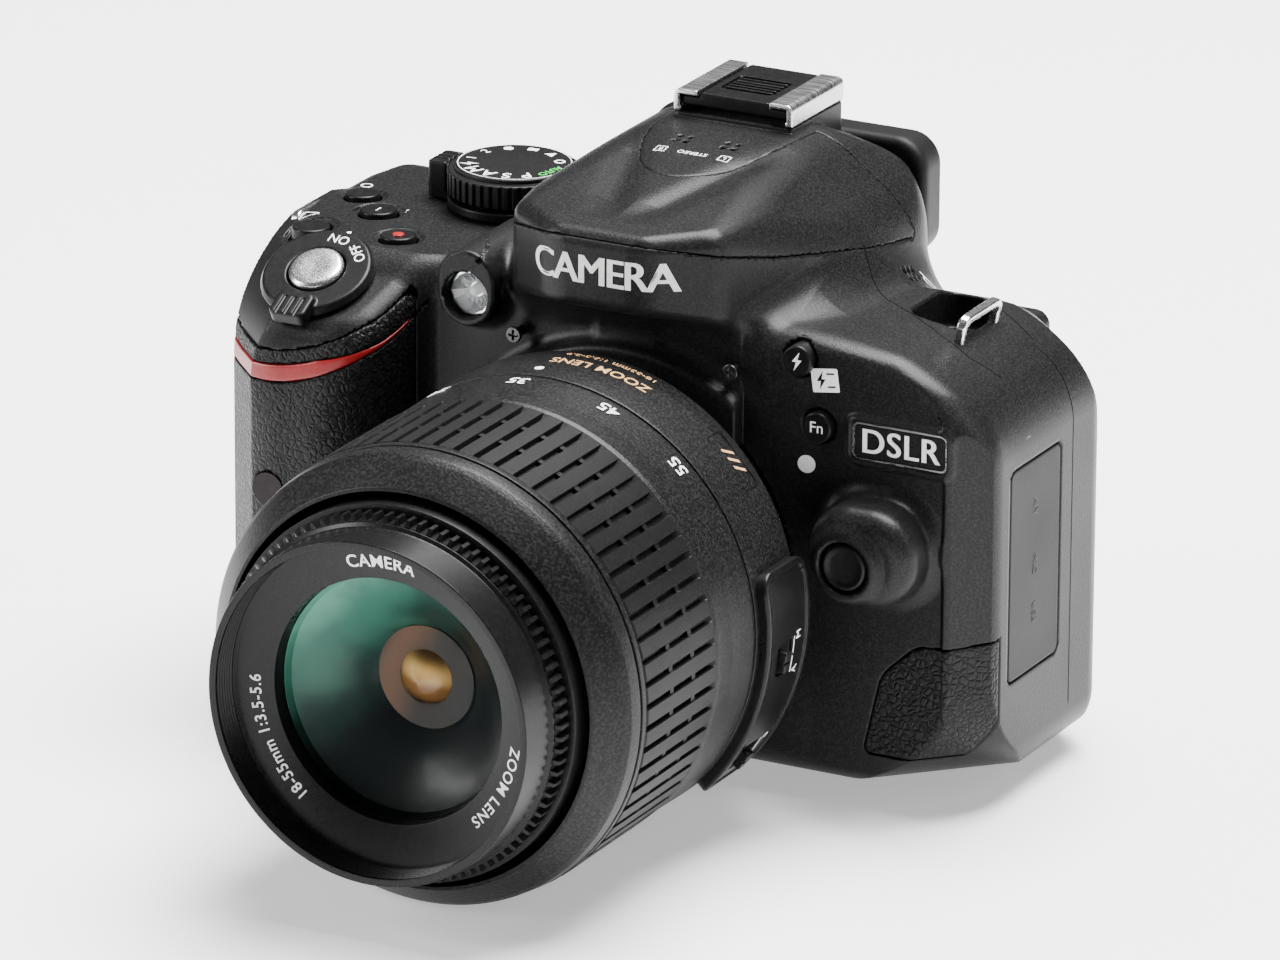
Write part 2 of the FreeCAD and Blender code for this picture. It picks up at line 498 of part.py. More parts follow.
def monitor_parts():
    """Monitor shell and glass on their hinge arm, closed against the body."""
    x, y = ARM_AXIS
    knuckle = cyl(ARM_R, 22.0, (x, y, 24.0), UP)
    pins = cyl(1.5, 28.0, (x, y, 21.0), UP)
    neck = box(44.3, x, y - 2.5, y + 2.5, 28.0, 42.0)
    arm = fuse([knuckle, pins, neck])
    shell = box(-25.0, 45.0, 53.5, 63.0, 8.0, 63.0)
    shell = shell.makeFillet(2.5, [edge for edge in shell.Edges if abs(edge.tangentAt(0).y) > 0.9])
    glass_room = box(-22.5, 42.5, 61.5, 64.0, 10.5, 60.5)
    shell = shell.cut(glass_room).cut(box(44.3 - 0.05, 46, y - 2.55, y + 2.55, 27.95, 42.05))
    glass = box(-22.4, 42.4, 61.5, 62.8, 10.6, 60.4)
    return {"monitor_arm": arm, "monitor_shell": shell, "monitor_glass": glass}


def hinge_lugs():
    """The two lugs on the rear cover that hold the monitor arm's pins."""
    x, y = ARM_AXIS
    lugs = []
    for z in (19.0, 46.4):
        body = fuse([cyl(3.6, 4.6, (x, y, z), UP), box(x - 3.6, x + 3.6, BAY_Y - 1.0, y, z, z + 4.6)])
        lugs.append(body.cut(cyl(1.55, 20, (x, y, z - 5), UP)))
    return lugs


def lens_parts():
    """The zoom lens: fixed barrel, zoom ring and rubber, inner barrel, focus ring, glass and switches."""
    shell = ring([(-22.3, 36.5), (-12.0, 36.5), (-8.0, 36.0), (-2.0, 30.6), (-0.05, 29.6), (-0.05, 22.0), (-2.5, 22.0),
                  (-2.5, 28.5), (-8.5, 34.3), (-22.3, 34.3)])
    guide = ring([(-58.0, 33.0), (-2.0, 33.0), (-2.0, 31.7), (-58.0, 31.7)]).cut(
        ring([(-4.6, 36.0), (0.0, 36.0), (0.0, 30.4), (-1.9, 30.4)]))
    rear_tube = ring([(-2.5, 21.8), (4.5, 21.8), (4.5, 19.5), (-2.5, 19.5)])
    rear_wall = ring([(-2.5, 19.5), (-0.05, 19.5), (-0.05, 24.0), (-2.5, 24.0)])
    tie = ring([(-5.2, 31.0), (-3.0, 31.0), (-3.0, 29.0), (-5.2, 29.0)])
    tie = tie.fuse(ring([(-10.0, 32.5), (-8.0, 32.5), (-8.0, 34.6), (-10.0, 34.6)]))
    panel = sector(36.0, -47.0, 15.0, -21.5, -7.5, 2.3)
    slots = [sector(37.2, angle - 4.0, angle + 4.0, -17.5, -12.5, 2.0) for angle in (-8.0, -36.0)]
    lugs = [sector(21.5, start, start + 40.0, 3.4, 4.5, 1.5) for start in (20.0, 140.0, 260.0)]
    barrel = fuse([shell, guide, rear_tube, rear_wall, tie, panel] + lugs)
    for slot in slots:
        barrel = barrel.cut(slot)
    zoom = ring([(-22.7, 36.5), (-35.5, 36.5), (-35.5, 35.1), (-58.3, 35.1), (-58.3, 36.4), (-59.4, 36.4),
                 (-59.7, 35.9), (-60.1, 36.3), (-62.6, 35.8), (-63.2, 35.2), (-67.2, 31.9), (-67.2, 31.3),
                 (-60.5, 31.3), (-60.5, 33.05), (-22.7, 33.05)])
    rubber = toothed(35.7, 36.5, 65, 0.62, -58.2, -35.6).cut(cyl(35.15, 40, (0, -25, AXIS_Z), FRONT))
    inner = ring([(-69.2, 30.0), (-14.0, 30.0), (-14.0, 28.6), (-69.2, 28.6)])
    inner = inner.fuse(ring([(-64.0, 29.0), (-62.5, 29.0), (-62.5, 20.5), (-64.0, 20.5)]))
    inner = inner.fuse(ring([(-69.2, 29.0), (-69.2, 25.05), (-67.0, 25.05), (-67.0, 29.0)]))
    inner = inner.fuse(ring([(-20.0, 31.65), (-14.0, 31.65), (-14.0, 29.0), (-20.0, 29.0)]))
    focus = ring([(-79.5, 27.3), (-73.0, 27.6), (-72.3, 28.2), (-69.5, 28.2), (-69.5, 25.0), (-66.5, 25.0),
                  (-66.5, 19.6), (-72.9, 19.6), (-74.2, 25.6), (-74.2, 26.0), (-79.5, 26.0)])
    knurl = toothed(28.1, 29.3, 90, 0.5, -72.2, -69.6).cut(cyl(28.15, 10, (0, -65, AXIS_Z), FRONT))
    glass = ring([(-73.4, 0.0), (-73.1, 8.0), (-72.0, 15.0), (-70.6, 19.5), (-67.0, 19.5), (-68.0, 12.0), (-69.0, 0.0)])
    switches = {}
    for name, angle in (("af_switch", -8.0), ("stabiliser_switch", -36.0)):
        slider = sector(37.3, angle - 2.6, angle + 2.6, -17.0, -15.0, 1.9)
        switches[name] = slider
    parts = {"lens_barrel": barrel, "zoom_ring": zoom, "zoom_rubber": rubber,
             "inner_barrel": inner, "focus_ring": focus.fuse(knurl), "front_element": glass}
    parts.update(switches)
    return parts


def chassis():
    """The parts that the covers hold: mirror box, mount, sensor, boards, battery and fittings."""
    low = AXIS_Z - 21.0
    high = AXIS_Z + 21.5
    mirror_box = box(-25.0, 25.0, FRONT_Y + WALL + 0.05, 37.5, low, high).cut(box(-22.5, 22.5, 0, 36.0, low + 2, high - 2))
    mirror_box = mirror_box.cut(box(-12.5, 12.5, 30, 40, AXIS_Z - 8.5, AXIS_Z + 8.5))
    mirror_box = mirror_box.cut(box(-17, 17, 7.5, 34.5, high - 5, high + 5))
    mount = tube(MOUNT_R, THROAT_R, 3.2, (0, 0, AXIS_Z), REAR)
    mount_seat = tube(MOUNT_R - 0.5, THROAT_R + 1.0, 3.3, (0, 3.2, AXIS_Z), REAR)
    shutter = box(-30.0, 30.0, 38.0, 42.0, AXIS_Z - 18, AXIS_Z + 18)
    shutter = shutter.cut(box(-12.3, 12.3, 37, 43, AXIS_Z - 8.2, AXIS_Z + 8.2))
    curtain = box(-12.2, 12.2, 39.7, 40.1, AXIS_Z - 8.1, AXIS_Z + 8.1)
    sensor = box(-15.0, 15.0, 45.3, 48.3, AXIS_Z - 11.0, AXIS_Z + 11.0)
    board = box(-26.0, 42.0, 49.0, 50.2, 12.0, 56.0)
    chips = fuse([board] + [box(x, x + 11, 48.0, 49.1, z, z + 11) for x, z in ((20, 16), (28, 40))])
    roof = [V(-18, 8, 56), V(-18, 40, 56), V(-18, 40, 66), V(-18, 33, 76), V(-18, 12, 70)]
    prism = Part.Face(Part.makePolygon(roof + roof[:1])).extrude(V(36, 0, 0))
    mirror = box(-14.0, 14.0, -26.0, -0.5, -0.6, 0.6).fuse(cyl(0.9, 30.0, (-15.0, 0, 0), (1, 0, 0)))
    mirror.rotate(V(0, 0, 0), V(1, 0, 0), 45)
    mirror.translate(V(0, MIRROR_HINGE[0], MIRROR_HINGE[1]))
    bush = cyl(6.0, 8.0, (0, SOCKET_Y, 0), UP).fuse(cyl(9.0, 2.0, (0, SOCKET_Y, 2.2), UP))
    bush = bush.cut(cyl(3.175, 7.0, (0, SOCKET_Y, 0), UP))
    connector_panel = box(56.5, 58.8, 16.5, 32.5, 19.5, 51.5)
    for y, z, wide, tall in ((24.5, 45.0, 8.0, 5.0), (24.5, 31.0, 4.0, 8.6), (24.5, 23.0, 7.0, 3.2)):
        connector_panel = connector_panel.cut(box(57.3, 60, y - wide / 2, y + wide / 2, z - tall / 2, z + tall / 2))
    connector_panel = connector_panel.cut(cyl(1.8, 6, (57.3, 24.5, 38.5), (1, 0, 0)))
    return {
        "mirror_box": mirror_box, "lens_mount": mount.fuse(mount_seat), "mirror": mirror,
        "shutter_unit": Part.makeCompound([shutter, curtain]), "image_sensor": sensor, "main_board": chips,
        "pentamirror": prism, "tripod_bush": bush, "connector_panel": connector_panel,
        "battery": box(-61.2, -47.2, -3.2, 32.6, 4.0, 57.0), "memory_card": box(-64.4, -32.4, 40.0, 42.1, 31.0, 55.0),
    }


def fittings():
    """Accessory shoe, its cover, strap eyelets, lamp, receiver windows, eyecup and screws."""
    half = 10.5
    seat = HUMP_Z + 0.05
    top = 98.0
    y0, y1 = 39.2, 57.4
    shoe = box(-half, half, y0, y1, seat, seat + 0.9)
    for side in (-1, 1):
        x0, x1 = sorted((side * half, side * (half - 1.1)))
        shoe = shoe.fuse(box(x0, x1, y0, y1, seat, top))
        x0, x1 = sorted((side * half, side * 6.35))
        shoe = shoe.fuse(box(x0, x1, y0, y1, top - 0.9, top))
    low = seat + 1.0
    cover = fuse([box(-9.2, 9.2, y0 + 0.6, y1, low, top - 1.1), box(-6.1, 6.1, y0 + 0.6, y1, low, top - 0.3)])
    eyelets = []
    for x, y, z, turn in ((48.2, 28.6, 69.3, -80.0), (-65.4, 22.0, 71.3, -100.0)):
        loop = strap_loop()
        loop.rotate(V(0, 0, 0), V(0, 1, 0), turn)
        loop.translate(V(x, y, z))
        eyelets.append(loop)
    lamp = cyl(LAMP_R, 6.2, (LAMP[0], FRONT_Y + 3.0, LAMP[1]), FRONT)
    front_window = cyl(2.7, 0.6, (-55.7, GRIP_Y + 0.55, 39.0), FRONT)
    rear_window = cyl(2.2, 0.6, (-62.0, REAR_Y - 2.0, 30.0), REAR)
    opening = box(-12.0, 12.0, REAR_Y - 1, 70, EYECUP_Z - 6.5, EYECUP_Z + 6.5)
    eyecup = box(-24.5, 24.5, REAR_Y + 0.05, 66.0, EYECUP_Z - 10.5, EYECUP_Z + 10.5)
    eyecup = eyecup.makeFillet(4.0, [edge for edge in eyecup.Edges if abs(edge.tangentAt(0).y) > 0.9]).cut(opening)
    screws = []
    for at, axis in (((-19.0, FRONT_Y, 66.5), FRONT), ((19.0, FRONT_Y, 66.5), FRONT),
                     ((RIGHT_X, 21.5, 56.0), (1, 0, 0)), ((RIGHT_X, 21.0, 14.6), (1, 0, 0)),
                     ((-30.0, 48.0, 0.0), (0, 0, -1)), ((40.0, 48.0, 0.0), (0, 0, -1)),
                     ((-30.0, 22.0, 0.0), (0, 0, -1)), ((38.0, 26.0, 0.0), (0, 0, -1))):
        head = cyl(1.3, 0.7, along(at, axis, -0.9), axis)
        screws.append(head.fuse(cyl(0.75, 3.5, along(at, axis, -4.3), axis)))
    return {
        "accessory_shoe": shoe.removeSplitter(), "shoe_cover": cover, "strap_eyelets": Part.makeCompound(eyelets),
        "af_lamp": lamp, "ir_windows": Part.makeCompound([front_window, rear_window]), "eyecup": eyecup,
        "body_screws": Part.makeCompound(screws),
    }


def strap_loop():
    """Strap eyelet: a flat-sided wire loop standing on a foot, lying in the XZ plane."""
    outer = slab([(-1.5, -6.8, 1.4), (5.0, -6.8, 2.2), (5.0, 6.8, 2.2), (-1.5, 6.8, 1.4)],
                 lambda p: V(p.x, p.y, -0.8), (0, 0, 1.6), 0)
    inner = slab([(0.0, -5.4, 0.8), (3.6, -5.4, 1.0), (3.6, 5.4, 1.0), (0.0, 5.4, 0.8)],
                 lambda p: V(p.x, p.y, -1.0), (0, 0, 2.0), 0)
    foot = cyl(1.6, 4.0, (-4.5, 0, 0), (1, 0, 0))
    return fuse([outer.cut(inner), foot])


def main():
    os.makedirs("parts", exist_ok=True)
    layer = layers()
    fitted = fittings()
    skin = skins(layer)
    skin["grip_rubber"] = skin["grip_rubber"].cut(fitted["ir_windows"])
    parts = dict(skin)
    parts.update(split_covers(covers(layer, skin, fitted)))
    parts["top_cover"] = biggest(parts["top_cover"].fuse(flash_well(layer)))
    parts["rear_cover"] = biggest(parts["rear_cover"].fuse(hinge_lugs()))
    parts.update(flash_parts(layer))
    parts.update(doors(layer))
    parts.update(controls())
    parts.update(monitor_parts())
    parts.update(lens_parts())
    parts.update(chassis())
    parts.update(fitted)
    for name, shape in sorted(parts.items()):
        print(name, len(shape.Solids), round(shape.Volume), shape.isValid())
        export(shape, name)
    print(len(parts), "pieces")


main()
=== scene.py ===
import json
import math

import bpy
import numpy as np
from mathutils import Matrix, Vector


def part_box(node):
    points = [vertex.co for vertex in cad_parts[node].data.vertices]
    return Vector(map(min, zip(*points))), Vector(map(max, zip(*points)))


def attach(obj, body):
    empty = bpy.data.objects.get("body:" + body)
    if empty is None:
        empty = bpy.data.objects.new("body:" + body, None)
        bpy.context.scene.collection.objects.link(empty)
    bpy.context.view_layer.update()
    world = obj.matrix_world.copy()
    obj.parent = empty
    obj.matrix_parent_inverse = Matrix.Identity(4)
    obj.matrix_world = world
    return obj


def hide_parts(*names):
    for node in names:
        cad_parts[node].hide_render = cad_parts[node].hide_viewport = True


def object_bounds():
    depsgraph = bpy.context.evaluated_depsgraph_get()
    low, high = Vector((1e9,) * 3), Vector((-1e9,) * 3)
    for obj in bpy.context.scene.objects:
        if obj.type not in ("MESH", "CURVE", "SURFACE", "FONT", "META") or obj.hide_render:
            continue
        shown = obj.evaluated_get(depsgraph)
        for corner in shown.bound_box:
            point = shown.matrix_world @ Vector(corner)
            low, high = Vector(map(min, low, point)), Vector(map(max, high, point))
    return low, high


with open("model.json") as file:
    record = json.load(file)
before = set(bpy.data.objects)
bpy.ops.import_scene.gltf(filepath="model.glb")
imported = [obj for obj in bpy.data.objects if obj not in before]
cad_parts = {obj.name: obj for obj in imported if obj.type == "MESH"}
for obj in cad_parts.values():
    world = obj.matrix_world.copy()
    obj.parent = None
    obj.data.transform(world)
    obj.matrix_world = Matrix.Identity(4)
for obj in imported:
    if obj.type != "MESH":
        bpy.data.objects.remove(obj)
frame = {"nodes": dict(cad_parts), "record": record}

# The whole scene is drawn in millimetres with the lens flange at y = 0 and moved to the row frame at the end.
MM = 0.001
SOCKET_Y = 28.0
CAD_SIZE = [list(corner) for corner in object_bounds()]


def frame_mm(node):
    """Lowest and highest corner of a CAD node, in drawing millimetres."""
    low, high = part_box(node)
    return [np.array([c.x / MM, c.y / MM + SOCKET_Y, c.z / MM]) for c in (low, high)]


# Driving dimensions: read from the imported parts, then chosen
LEFT_X = frame_mm("grip_rubber")[0][0]
MARK_ROOM = 0.08
RIGHT_X = frame_mm("connector_cover")[1][0] - MARK_ROOM
GRIP_Y = frame_mm("grip_rubber")[0][1]
HUMP_Z = frame_mm("top_cover")[1][2]
SHOULDER_Z = frame_mm("live_view_lever")[0][2] - 0.3
AXIS_Z = (frame_mm("zoom_ring")[0][2] + frame_mm("zoom_ring")[1][2]) / 2.0
DIAL_X, DIAL_Y = ((frame_mm("mode_dial")[0] + frame_mm("mode_dial")[1]) / 2.0)[:2]
DIAL_R = 10.75
FRONT_Y = 4.5
REAR_Y = 58.0
RIGHT_SHOULDER_Z = 73.4
WALL = 1.8
SKIN = 1.2
SEAM = 0.07
FRONT_SPLIT = 12.5
TOP_SPLIT = 66.0
BOTTOM_SPLIT = 6.0
BAY_X = -26.0
BAY_Y = 53.0
BAY_TOP = 65.5


# ---------------------------------------------------------------- distance fields
def round_max(a, b, r):
    """Larger of two distances with the outer corner rounded to radius r."""
    return np.minimum(-r, np.maximum(a, b)) + np.hypot(np.maximum(a + r, 0), np.maximum(b + r, 0))


def round_min(a, b, r):
    """Smaller of two distances with the inner corner filled to radius r."""
    return -round_max(-a, -b, r)


def half_plane(u, v, start, end, inside):
    """Distance beyond the line from start to end, negative on the side of the point inside."""
    du, dv = end[0] - start[0], end[1] - start[1]
    length = math.hypot(du, dv)
    nu, nv = dv / length, -du / length
    if (inside[0] - start[0]) * nu + (inside[1] - start[1]) * nv > 0:
        nu, nv = -nu, -nv
    return (u - start[0]) * nu + (v - start[1]) * nv, (nu, nv)


def outline(u, v, corners):
    """Convex outline given as (u, v, corner radius)."""
    inside = (sum(c[0] for c in corners) / len(corners), sum(c[1] for c in corners) / len(corners))
    count = len(corners)
    lines = [half_plane(u, v, corners[i], corners[(i + 1) % count], inside) for i in range(count)]
    distance = None
    for i in range(count):
        (before, n0), (after, n1) = lines[i - 1], lines[i]
        turn = 1.0 - (n0[0] * n1[0] + n0[1] * n1[1])
        corner = round_max(before, after, corners[i][2] * min(turn, 1.0))
        distance = corner if distance is None else np.maximum(distance, corner)
    return distance


def roof(u, z, points, radius):
    """Distance above a convex line of (u, z) points, its bends rounded."""
    inside = (sum(p[0] for p in points) / len(points), min(p[1] for p in points) - 50.0)
    distance = None
    for start, end in zip(points[:-1], points[1:]):
        line, _ = half_plane(u, z, start, end, inside)
        distance = line if distance is None else round_max(distance, line, radius)
    return distance


def pill(u, v, half_u, half_v, r):
    """Rounded rectangle about the origin."""
    du = np.abs(u) - half_u + r
    dv = np.abs(v) - half_v + r
    return np.hypot(np.maximum(du, 0), np.maximum(dv, 0)) + np.minimum(np.maximum(du, dv), 0) - r


def slab(value, low, high):
    return np.maximum(low - value, value - high)


def disc(u, v, r):
    return np.hypot(u, v) - r


def grip_field(x, y, z):
    plan = outline(x, y, [(LEFT_X, GRIP_Y, 14.0), (-41.0, GRIP_Y, 10.0), (-34.5, 10.0, 6.0),
                          (-34.5, 30.0, 1.0), (LEFT_X, 30.0, 1.0)])
    top = roof(y, z, [(60.0, SHOULDER_Z), (8.0, SHOULDER_Z), (-9.5, 66.2), (-12.6, 57.0)], 2.2)
    body = round_max(plan, top, 3.6)
    return round_max(body, -z, 4.0)


def left_field(x, y, z):
    plan = outline(x, y, [(LEFT_X, FRONT_Y, 2.0), (5.0, FRONT_Y, 0.5), (5.0, REAR_Y, 0.5),
                          (-64.0, REAR_Y, 12.0), (LEFT_X, 40.0, 20.0)])
    top = roof(y, z, [(-30.0, SHOULDER_Z), (48.0, SHOULDER_Z), (REAR_Y, 68.0), (REAR_Y + 2.0, 60.0)], 1.5)
    body = round_max(plan, top, 4.5)
    return round_max(body, -z, 4.5)


def right_field(x, y, z):
    plan = outline(x, y, [(-5.0, FRONT_Y, 0.5), (RIGHT_X, FRONT_Y, 8.0), (RIGHT_X, 47.0, 8.0),
                          (53.5, REAR_Y, 5.0), (-5.0, REAR_Y, 0.5)])
    level = (38.0, RIGHT_SHOULDER_Z)
    across = roof(x, z, [(-60.0, RIGHT_SHOULDER_Z), level, (50.0, 70.5), (RIGHT_X + 1.0, 60.5)], 3.0)
    back = roof(y, z, [(-40.0, RIGHT_SHOULDER_Z), level, (56.0, 62.0), (58.5, 54.0)], 3.0)
    body = round_max(plan, np.maximum(across, back), 5.0)
    corner = round_max((x - y) * math.sqrt(0.5) - 36.0, -z, 20.0)
    rear_corner = round_max((x + y) * math.sqrt(0.5) - 76.5, z - RIGHT_SHOULDER_Z, 24.0)
    return np.maximum(np.maximum(round_max(body, -z, 7.0), corner), rear_corner)


def hump_field(x, y, z):
    ax = np.abs(x)
    plan = outline(x, y, [(-8.0, -6.8, 10.0), (8.0, -6.8, 10.0), (18.6, 0.5, 6.0), (28.8, 34.0, 14.0),
                          (28.8, REAR_Y, 9.0), (-28.8, REAR_Y, 9.0), (-28.8, 34.0, 14.0), (-18.6, 0.5, 6.0)])
    sides = roof(ax, z, [(-20.0, HUMP_Z), (13.5, HUMP_Z), (28.5, 80.5), (32.0, 64.0)], 4.0)
    line = roof(y, z, [(-6.8, 88.4), (38.0, HUMP_Z), (46.0, HUMP_Z), (REAR_Y + 2.0, 85.5)], 1.0)
    body = round_max(round_max(plan, sides, 3.0), line, 2.5)
    crease = np.abs(ax - 3.0 - 0.30 * np.maximum(y - 2.0, 0.0)) - 0.2
    channel = np.clip((y + 1.0) / 8.0, 0.0, 1.0) * np.clip((34.0 - y) / 10.0, 0.0, 1.0)
    body = body + 0.9 * channel * np.exp(-(np.maximum(crease, 0.0) / 2.6) ** 2) * (z > 84.0)
    under, _ = half_plane(y, z, (-6.3, 76.2), (FRONT_Y + 4.0, 72.2), (0.0, 90.0))
    return round_max(body, under, 1.6)


def shoe_seat(x, y, z):
    return round_max(pill(x, y - 48.2, 10.4, 9.0, 0.6), slab(z, 84.0, HUMP_Z), 0.3)


FLASH_BREAK = (12.0, 83.4)
PANEL_HALF = 12.5
PANEL_BEND = 45.0
PANEL_REACH = 28.2


def flash_floor(x, y):
    """Height of the parting line under the flash head."""
    slope = np.where(y < FLASH_BREAK[0], 0.22, 0.155)
    return FLASH_BREAK[1] + (FLASH_BREAK[0] - y) * slope - 0.0022 * np.maximum(np.abs(x) - 6.0, 0) ** 2


def panel_outline(x, y):
    """Distance from the fixed panel that the shoe stands on: straight sides and a half-ellipse in front."""
    ahead = np.hypot(x / PANEL_HALF, (PANEL_BEND - y) / PANEL_REACH) - 1.0
    return np.where(y < PANEL_BEND, ahead, np.abs(x) / PANEL_HALF - 1.0) * 11.0


def outer(p):
    """Distance from the camera body's outside, negative inside."""
    x, y, z = p
    left = round_min(left_field(x, y, z), grip_field(x, y, z), 3.0)
    corner = round_max(-(x + y) * math.sqrt(0.5) - 49.2, z - SHOULDER_Z, 20.0)
    left = np.maximum(np.maximum(left, corner), LEFT_X - x)
    body = round_min(left, right_field(x, y, z), 2.0)
    flare = 5.0 + 5.0 * np.clip((x - 16.0) / 10.0, 0.0, 1.0) * np.clip((y - 8.0) / 10.0, 0.0, 1.0)
    body = round_min(body, hump_field(x, y, z), flare)
    body = np.minimum(body, shoe_seat(x, y, z))
    surround = round_max(disc(x, z - AXIS_Z, 34.0), 1.6 - y, 1.0)
    surround = np.maximum(surround, y - 20.0)
    body = round_min(body, surround, 3.0)
    body = relief_field(x, y, z, body)
    bay = round_max(round_max(BAY_X - x, BAY_Y - y, 1.0), z - BAY_TOP, 3.0)
    body = round_max(body, -bay, 0.6)
    well = round_max(disc(x - DIAL_X, y - DIAL_Y, DIAL_R + 0.9), SHOULDER_Z - z, 0.3)
    return round_max(body, -well, 0.4)


RELEASE = (41.9, 40.2)
RELEASE_R = 3.9
LAMP = (-26.5, 72.3)
LAMP_R = 3.7
PANEL_DEPTH = 0.9
PLATE = (46.9, 57.9)
TOP_BUTTONS = {"movie_button": (-45.3, 12.4, 2.9), "exposure_button": (-60.8, 11.8, 3.1),
               "info_button": (-54.4, 22.3, 3.0), "release_mode_button": (-60.8, 28.6, 2.8)}


def relief_field(x, y, z, body):
    """Bulges, recesses and grooves that show on the covers."""
    panel = outline(x, z, [(20.0, 0.0, 1.0), (54.6, 0.0, 1.0), (54.6, 72.4, 14.0), (20.0, 72.4, 1.0)])
    sunk = PANEL_DEPTH * np.clip((x - 24.0) / 8.0, 0.0, 1.0)
    body = round_max(body, -np.maximum(panel, y - (FRONT_Y + sunk)), 0.5)
    bulge = round_max(pill(x - 43.6, z - 41.4, 9.2, 8.0, 7.6), -3.4 - y, 3.5)
    collar = round_max(disc(x - RELEASE[0], z - RELEASE[1], RELEASE_R + 1.8), -4.2 - y, 1.0)
    bulge = round_min(np.maximum(bulge, y - 20.0), np.maximum(collar, y - 20.0), 1.5)
    body = round_min(body, bulge, 3.0)
    ahead = np.maximum(np.abs(z - LAMP[1] - 1.2) - 1.2, 0.0)
    lamp = round_max(np.hypot(x - LAMP[0], ahead) - LAMP_R - 1.3, -y, 0.5)
    body = round_min(body, np.maximum(lamp, y - 20.0), 2.5)
    bezel = round_max(pill(x - PLATE[0], z - PLATE[1], 9.2, 4.0, 1.9), FRONT_Y + 0.1 - y, 0.5)
    body = round_min(body, np.maximum(bezel, y - 20.0), 0.8)
    pocket = np.maximum(pill(x - PLATE[0], z - PLATE[1], 8.2, 3.1, 1.1), y - (FRONT_Y + 0.8))
    body = round_max(body, -pocket, 0.2)
    hollow = round_max(pill(x - 42.8, y - 32.6, 5.2, 7.2, 3.0), 66.0 - z, 1.0)
    body = round_max(body, -hollow, 0.6)
    for bx, by, r in TOP_BUTTONS.values():
        dish = np.maximum(disc(x - bx, y - by, r + 1.1), 70.0 - z)
        body = round_max(body, -np.maximum(dish, -(body + 0.45)), 0.4)
    return body


# ---------------------------------------------------------------- meshing
CORNERS = np.array([(i, j, k) for i in (0, 1) for j in (0, 1) for k in (0, 1)])
EDGES = [(a, b) for a in range(8) for b in range(a + 1, 8) if np.abs(CORNERS[a] - CORNERS[b]).sum() == 1]
BLOCK = 4


def sample(field, points):
    """Field values at an array of points, taken in pieces to spare memory."""
    values = np.empty(len(points))
    for start in range(0, len(points), 300000):
        part = points[start:start + 300000]
        values[start:start + 300000] = field((part[:, 0], part[:, 1], part[:, 2]))
    return values


def slope(field, points, reach):
    """Gradient of the field by differences over twice the reach."""
    columns = []
    for axis in range(3):
        shift = np.zeros(3)
        shift[axis] = reach
        columns.append((sample(field, points + shift) - sample(field, points - shift)) / (2 * reach))
    return np.stack(columns, 1)


def sampled_grid(field, low, high, step):
    """Field values on a grid, exact near the surface and coarse elsewhere."""
    count = [int(math.ceil((h - l) / (step * BLOCK))) + 1 for l, h in zip(low, high)]
    origin = np.array(low) - step
    axes = [origin[i] + (BLOCK * np.arange(count[i]) + (BLOCK - 1) / 2.0) * step for i in range(3)]
    centres = np.stack([g.ravel() for g in np.meshgrid(*axes, indexing="ij")], 1)
    coarse = sample(field, centres).reshape(count)
    dense = coarse.repeat(BLOCK, 0).repeat(BLOCK, 1).repeat(BLOCK, 2)
    blocks = np.argwhere(np.abs(coarse) < step * BLOCK * 1.35)
    local = np.argwhere(np.ones((BLOCK,) * 3))
    index = (blocks[:, None, :] * BLOCK + local[None]).reshape(-1, 3)
    dense[index[:, 0], index[:, 1], index[:, 2]] = sample(field, origin + index * step)
    for axis in range(3):
        ends = np.moveaxis(dense, axis, 0)
        ends[0] = np.maximum(ends[0], step * 0.1)
        ends[-1] = np.maximum(ends[-1], step * 0.1)
    return dense, origin


def surface(field, low, high, step):
    """Points and quads of the field's zero surface inside a box, drawn onto the surface."""
    dense, origin = sampled_grid(field, low, high, step)
    inside = dense < 0
    cell = tuple(n - 1 for n in dense.shape)
    total = np.zeros(cell, np.uint8)
    for i, j, k in CORNERS:
        total += inside[i:i + cell[0], j:j + cell[1], k:k + cell[2]]
    active = (total > 0) & (total < 8)
    cells = np.argwhere(active)
    number = np.full(cell, -1, np.int32)
    number[active] = np.arange(len(cells))
    corner = np.stack([dense[tuple((cells + c).T)] for c in CORNERS], 1)
    place = np.zeros((len(cells), 3))
    hits = np.zeros(len(cells))
    for a, b in EDGES:
        va, vb = corner[:, a], corner[:, b]
        crosses = (va < 0) != (vb < 0)
        share = np.where(crosses, va / np.where(crosses, va - vb, 1.0), 0.0)
        place += crosses[:, None] * (CORNERS[a] + share[:, None] * (CORNERS[b] - CORNERS[a]))
        hits += crosses
    points = origin + (cells + place / hits[:, None]) * step
    quads = []
    for axis in range(3):
        first, second = [(1, 2), (2, 0), (0, 1)][axis]
        near = np.moveaxis(inside, axis, 0)[:-1]
        far = np.moveaxis(inside, axis, 0)[1:]
        crossing = np.argwhere(np.moveaxis(near != far, 0, axis))
        keep = (crossing[:, first] > 0) & (crossing[:, second] > 0)
        keep &= (crossing[:, first] < cell[first]) & (crossing[:, second] < cell[second])
        crossing = crossing[keep]
        ring = []
        for da, db in ((-1, -1), (0, -1), (0, 0), (-1, 0)):
            at = crossing.copy()
            at[:, first] += da
            at[:, second] += db
            ring.append(number[tuple(at.T)])
        ring = np.stack(ring, 1)
        outward = inside[tuple(crossing.T)]
        quads.append(np.where(outward[:, None], ring, ring[:, ::-1]))
    quads = np.concatenate(quads)
    for _ in range(2):
        value = sample(field, points)
        gradient = slope(field, points, step * 0.1)
        square = np.maximum((gradient ** 2).sum(1), 0.3)
        move = gradient * (value / square)[:, None]
        length = np.linalg.norm(move, axis=1)
        points = points - move * np.minimum(1.0, 0.45 * step / np.maximum(length, 1e-9))[:, None]
    return points, quads


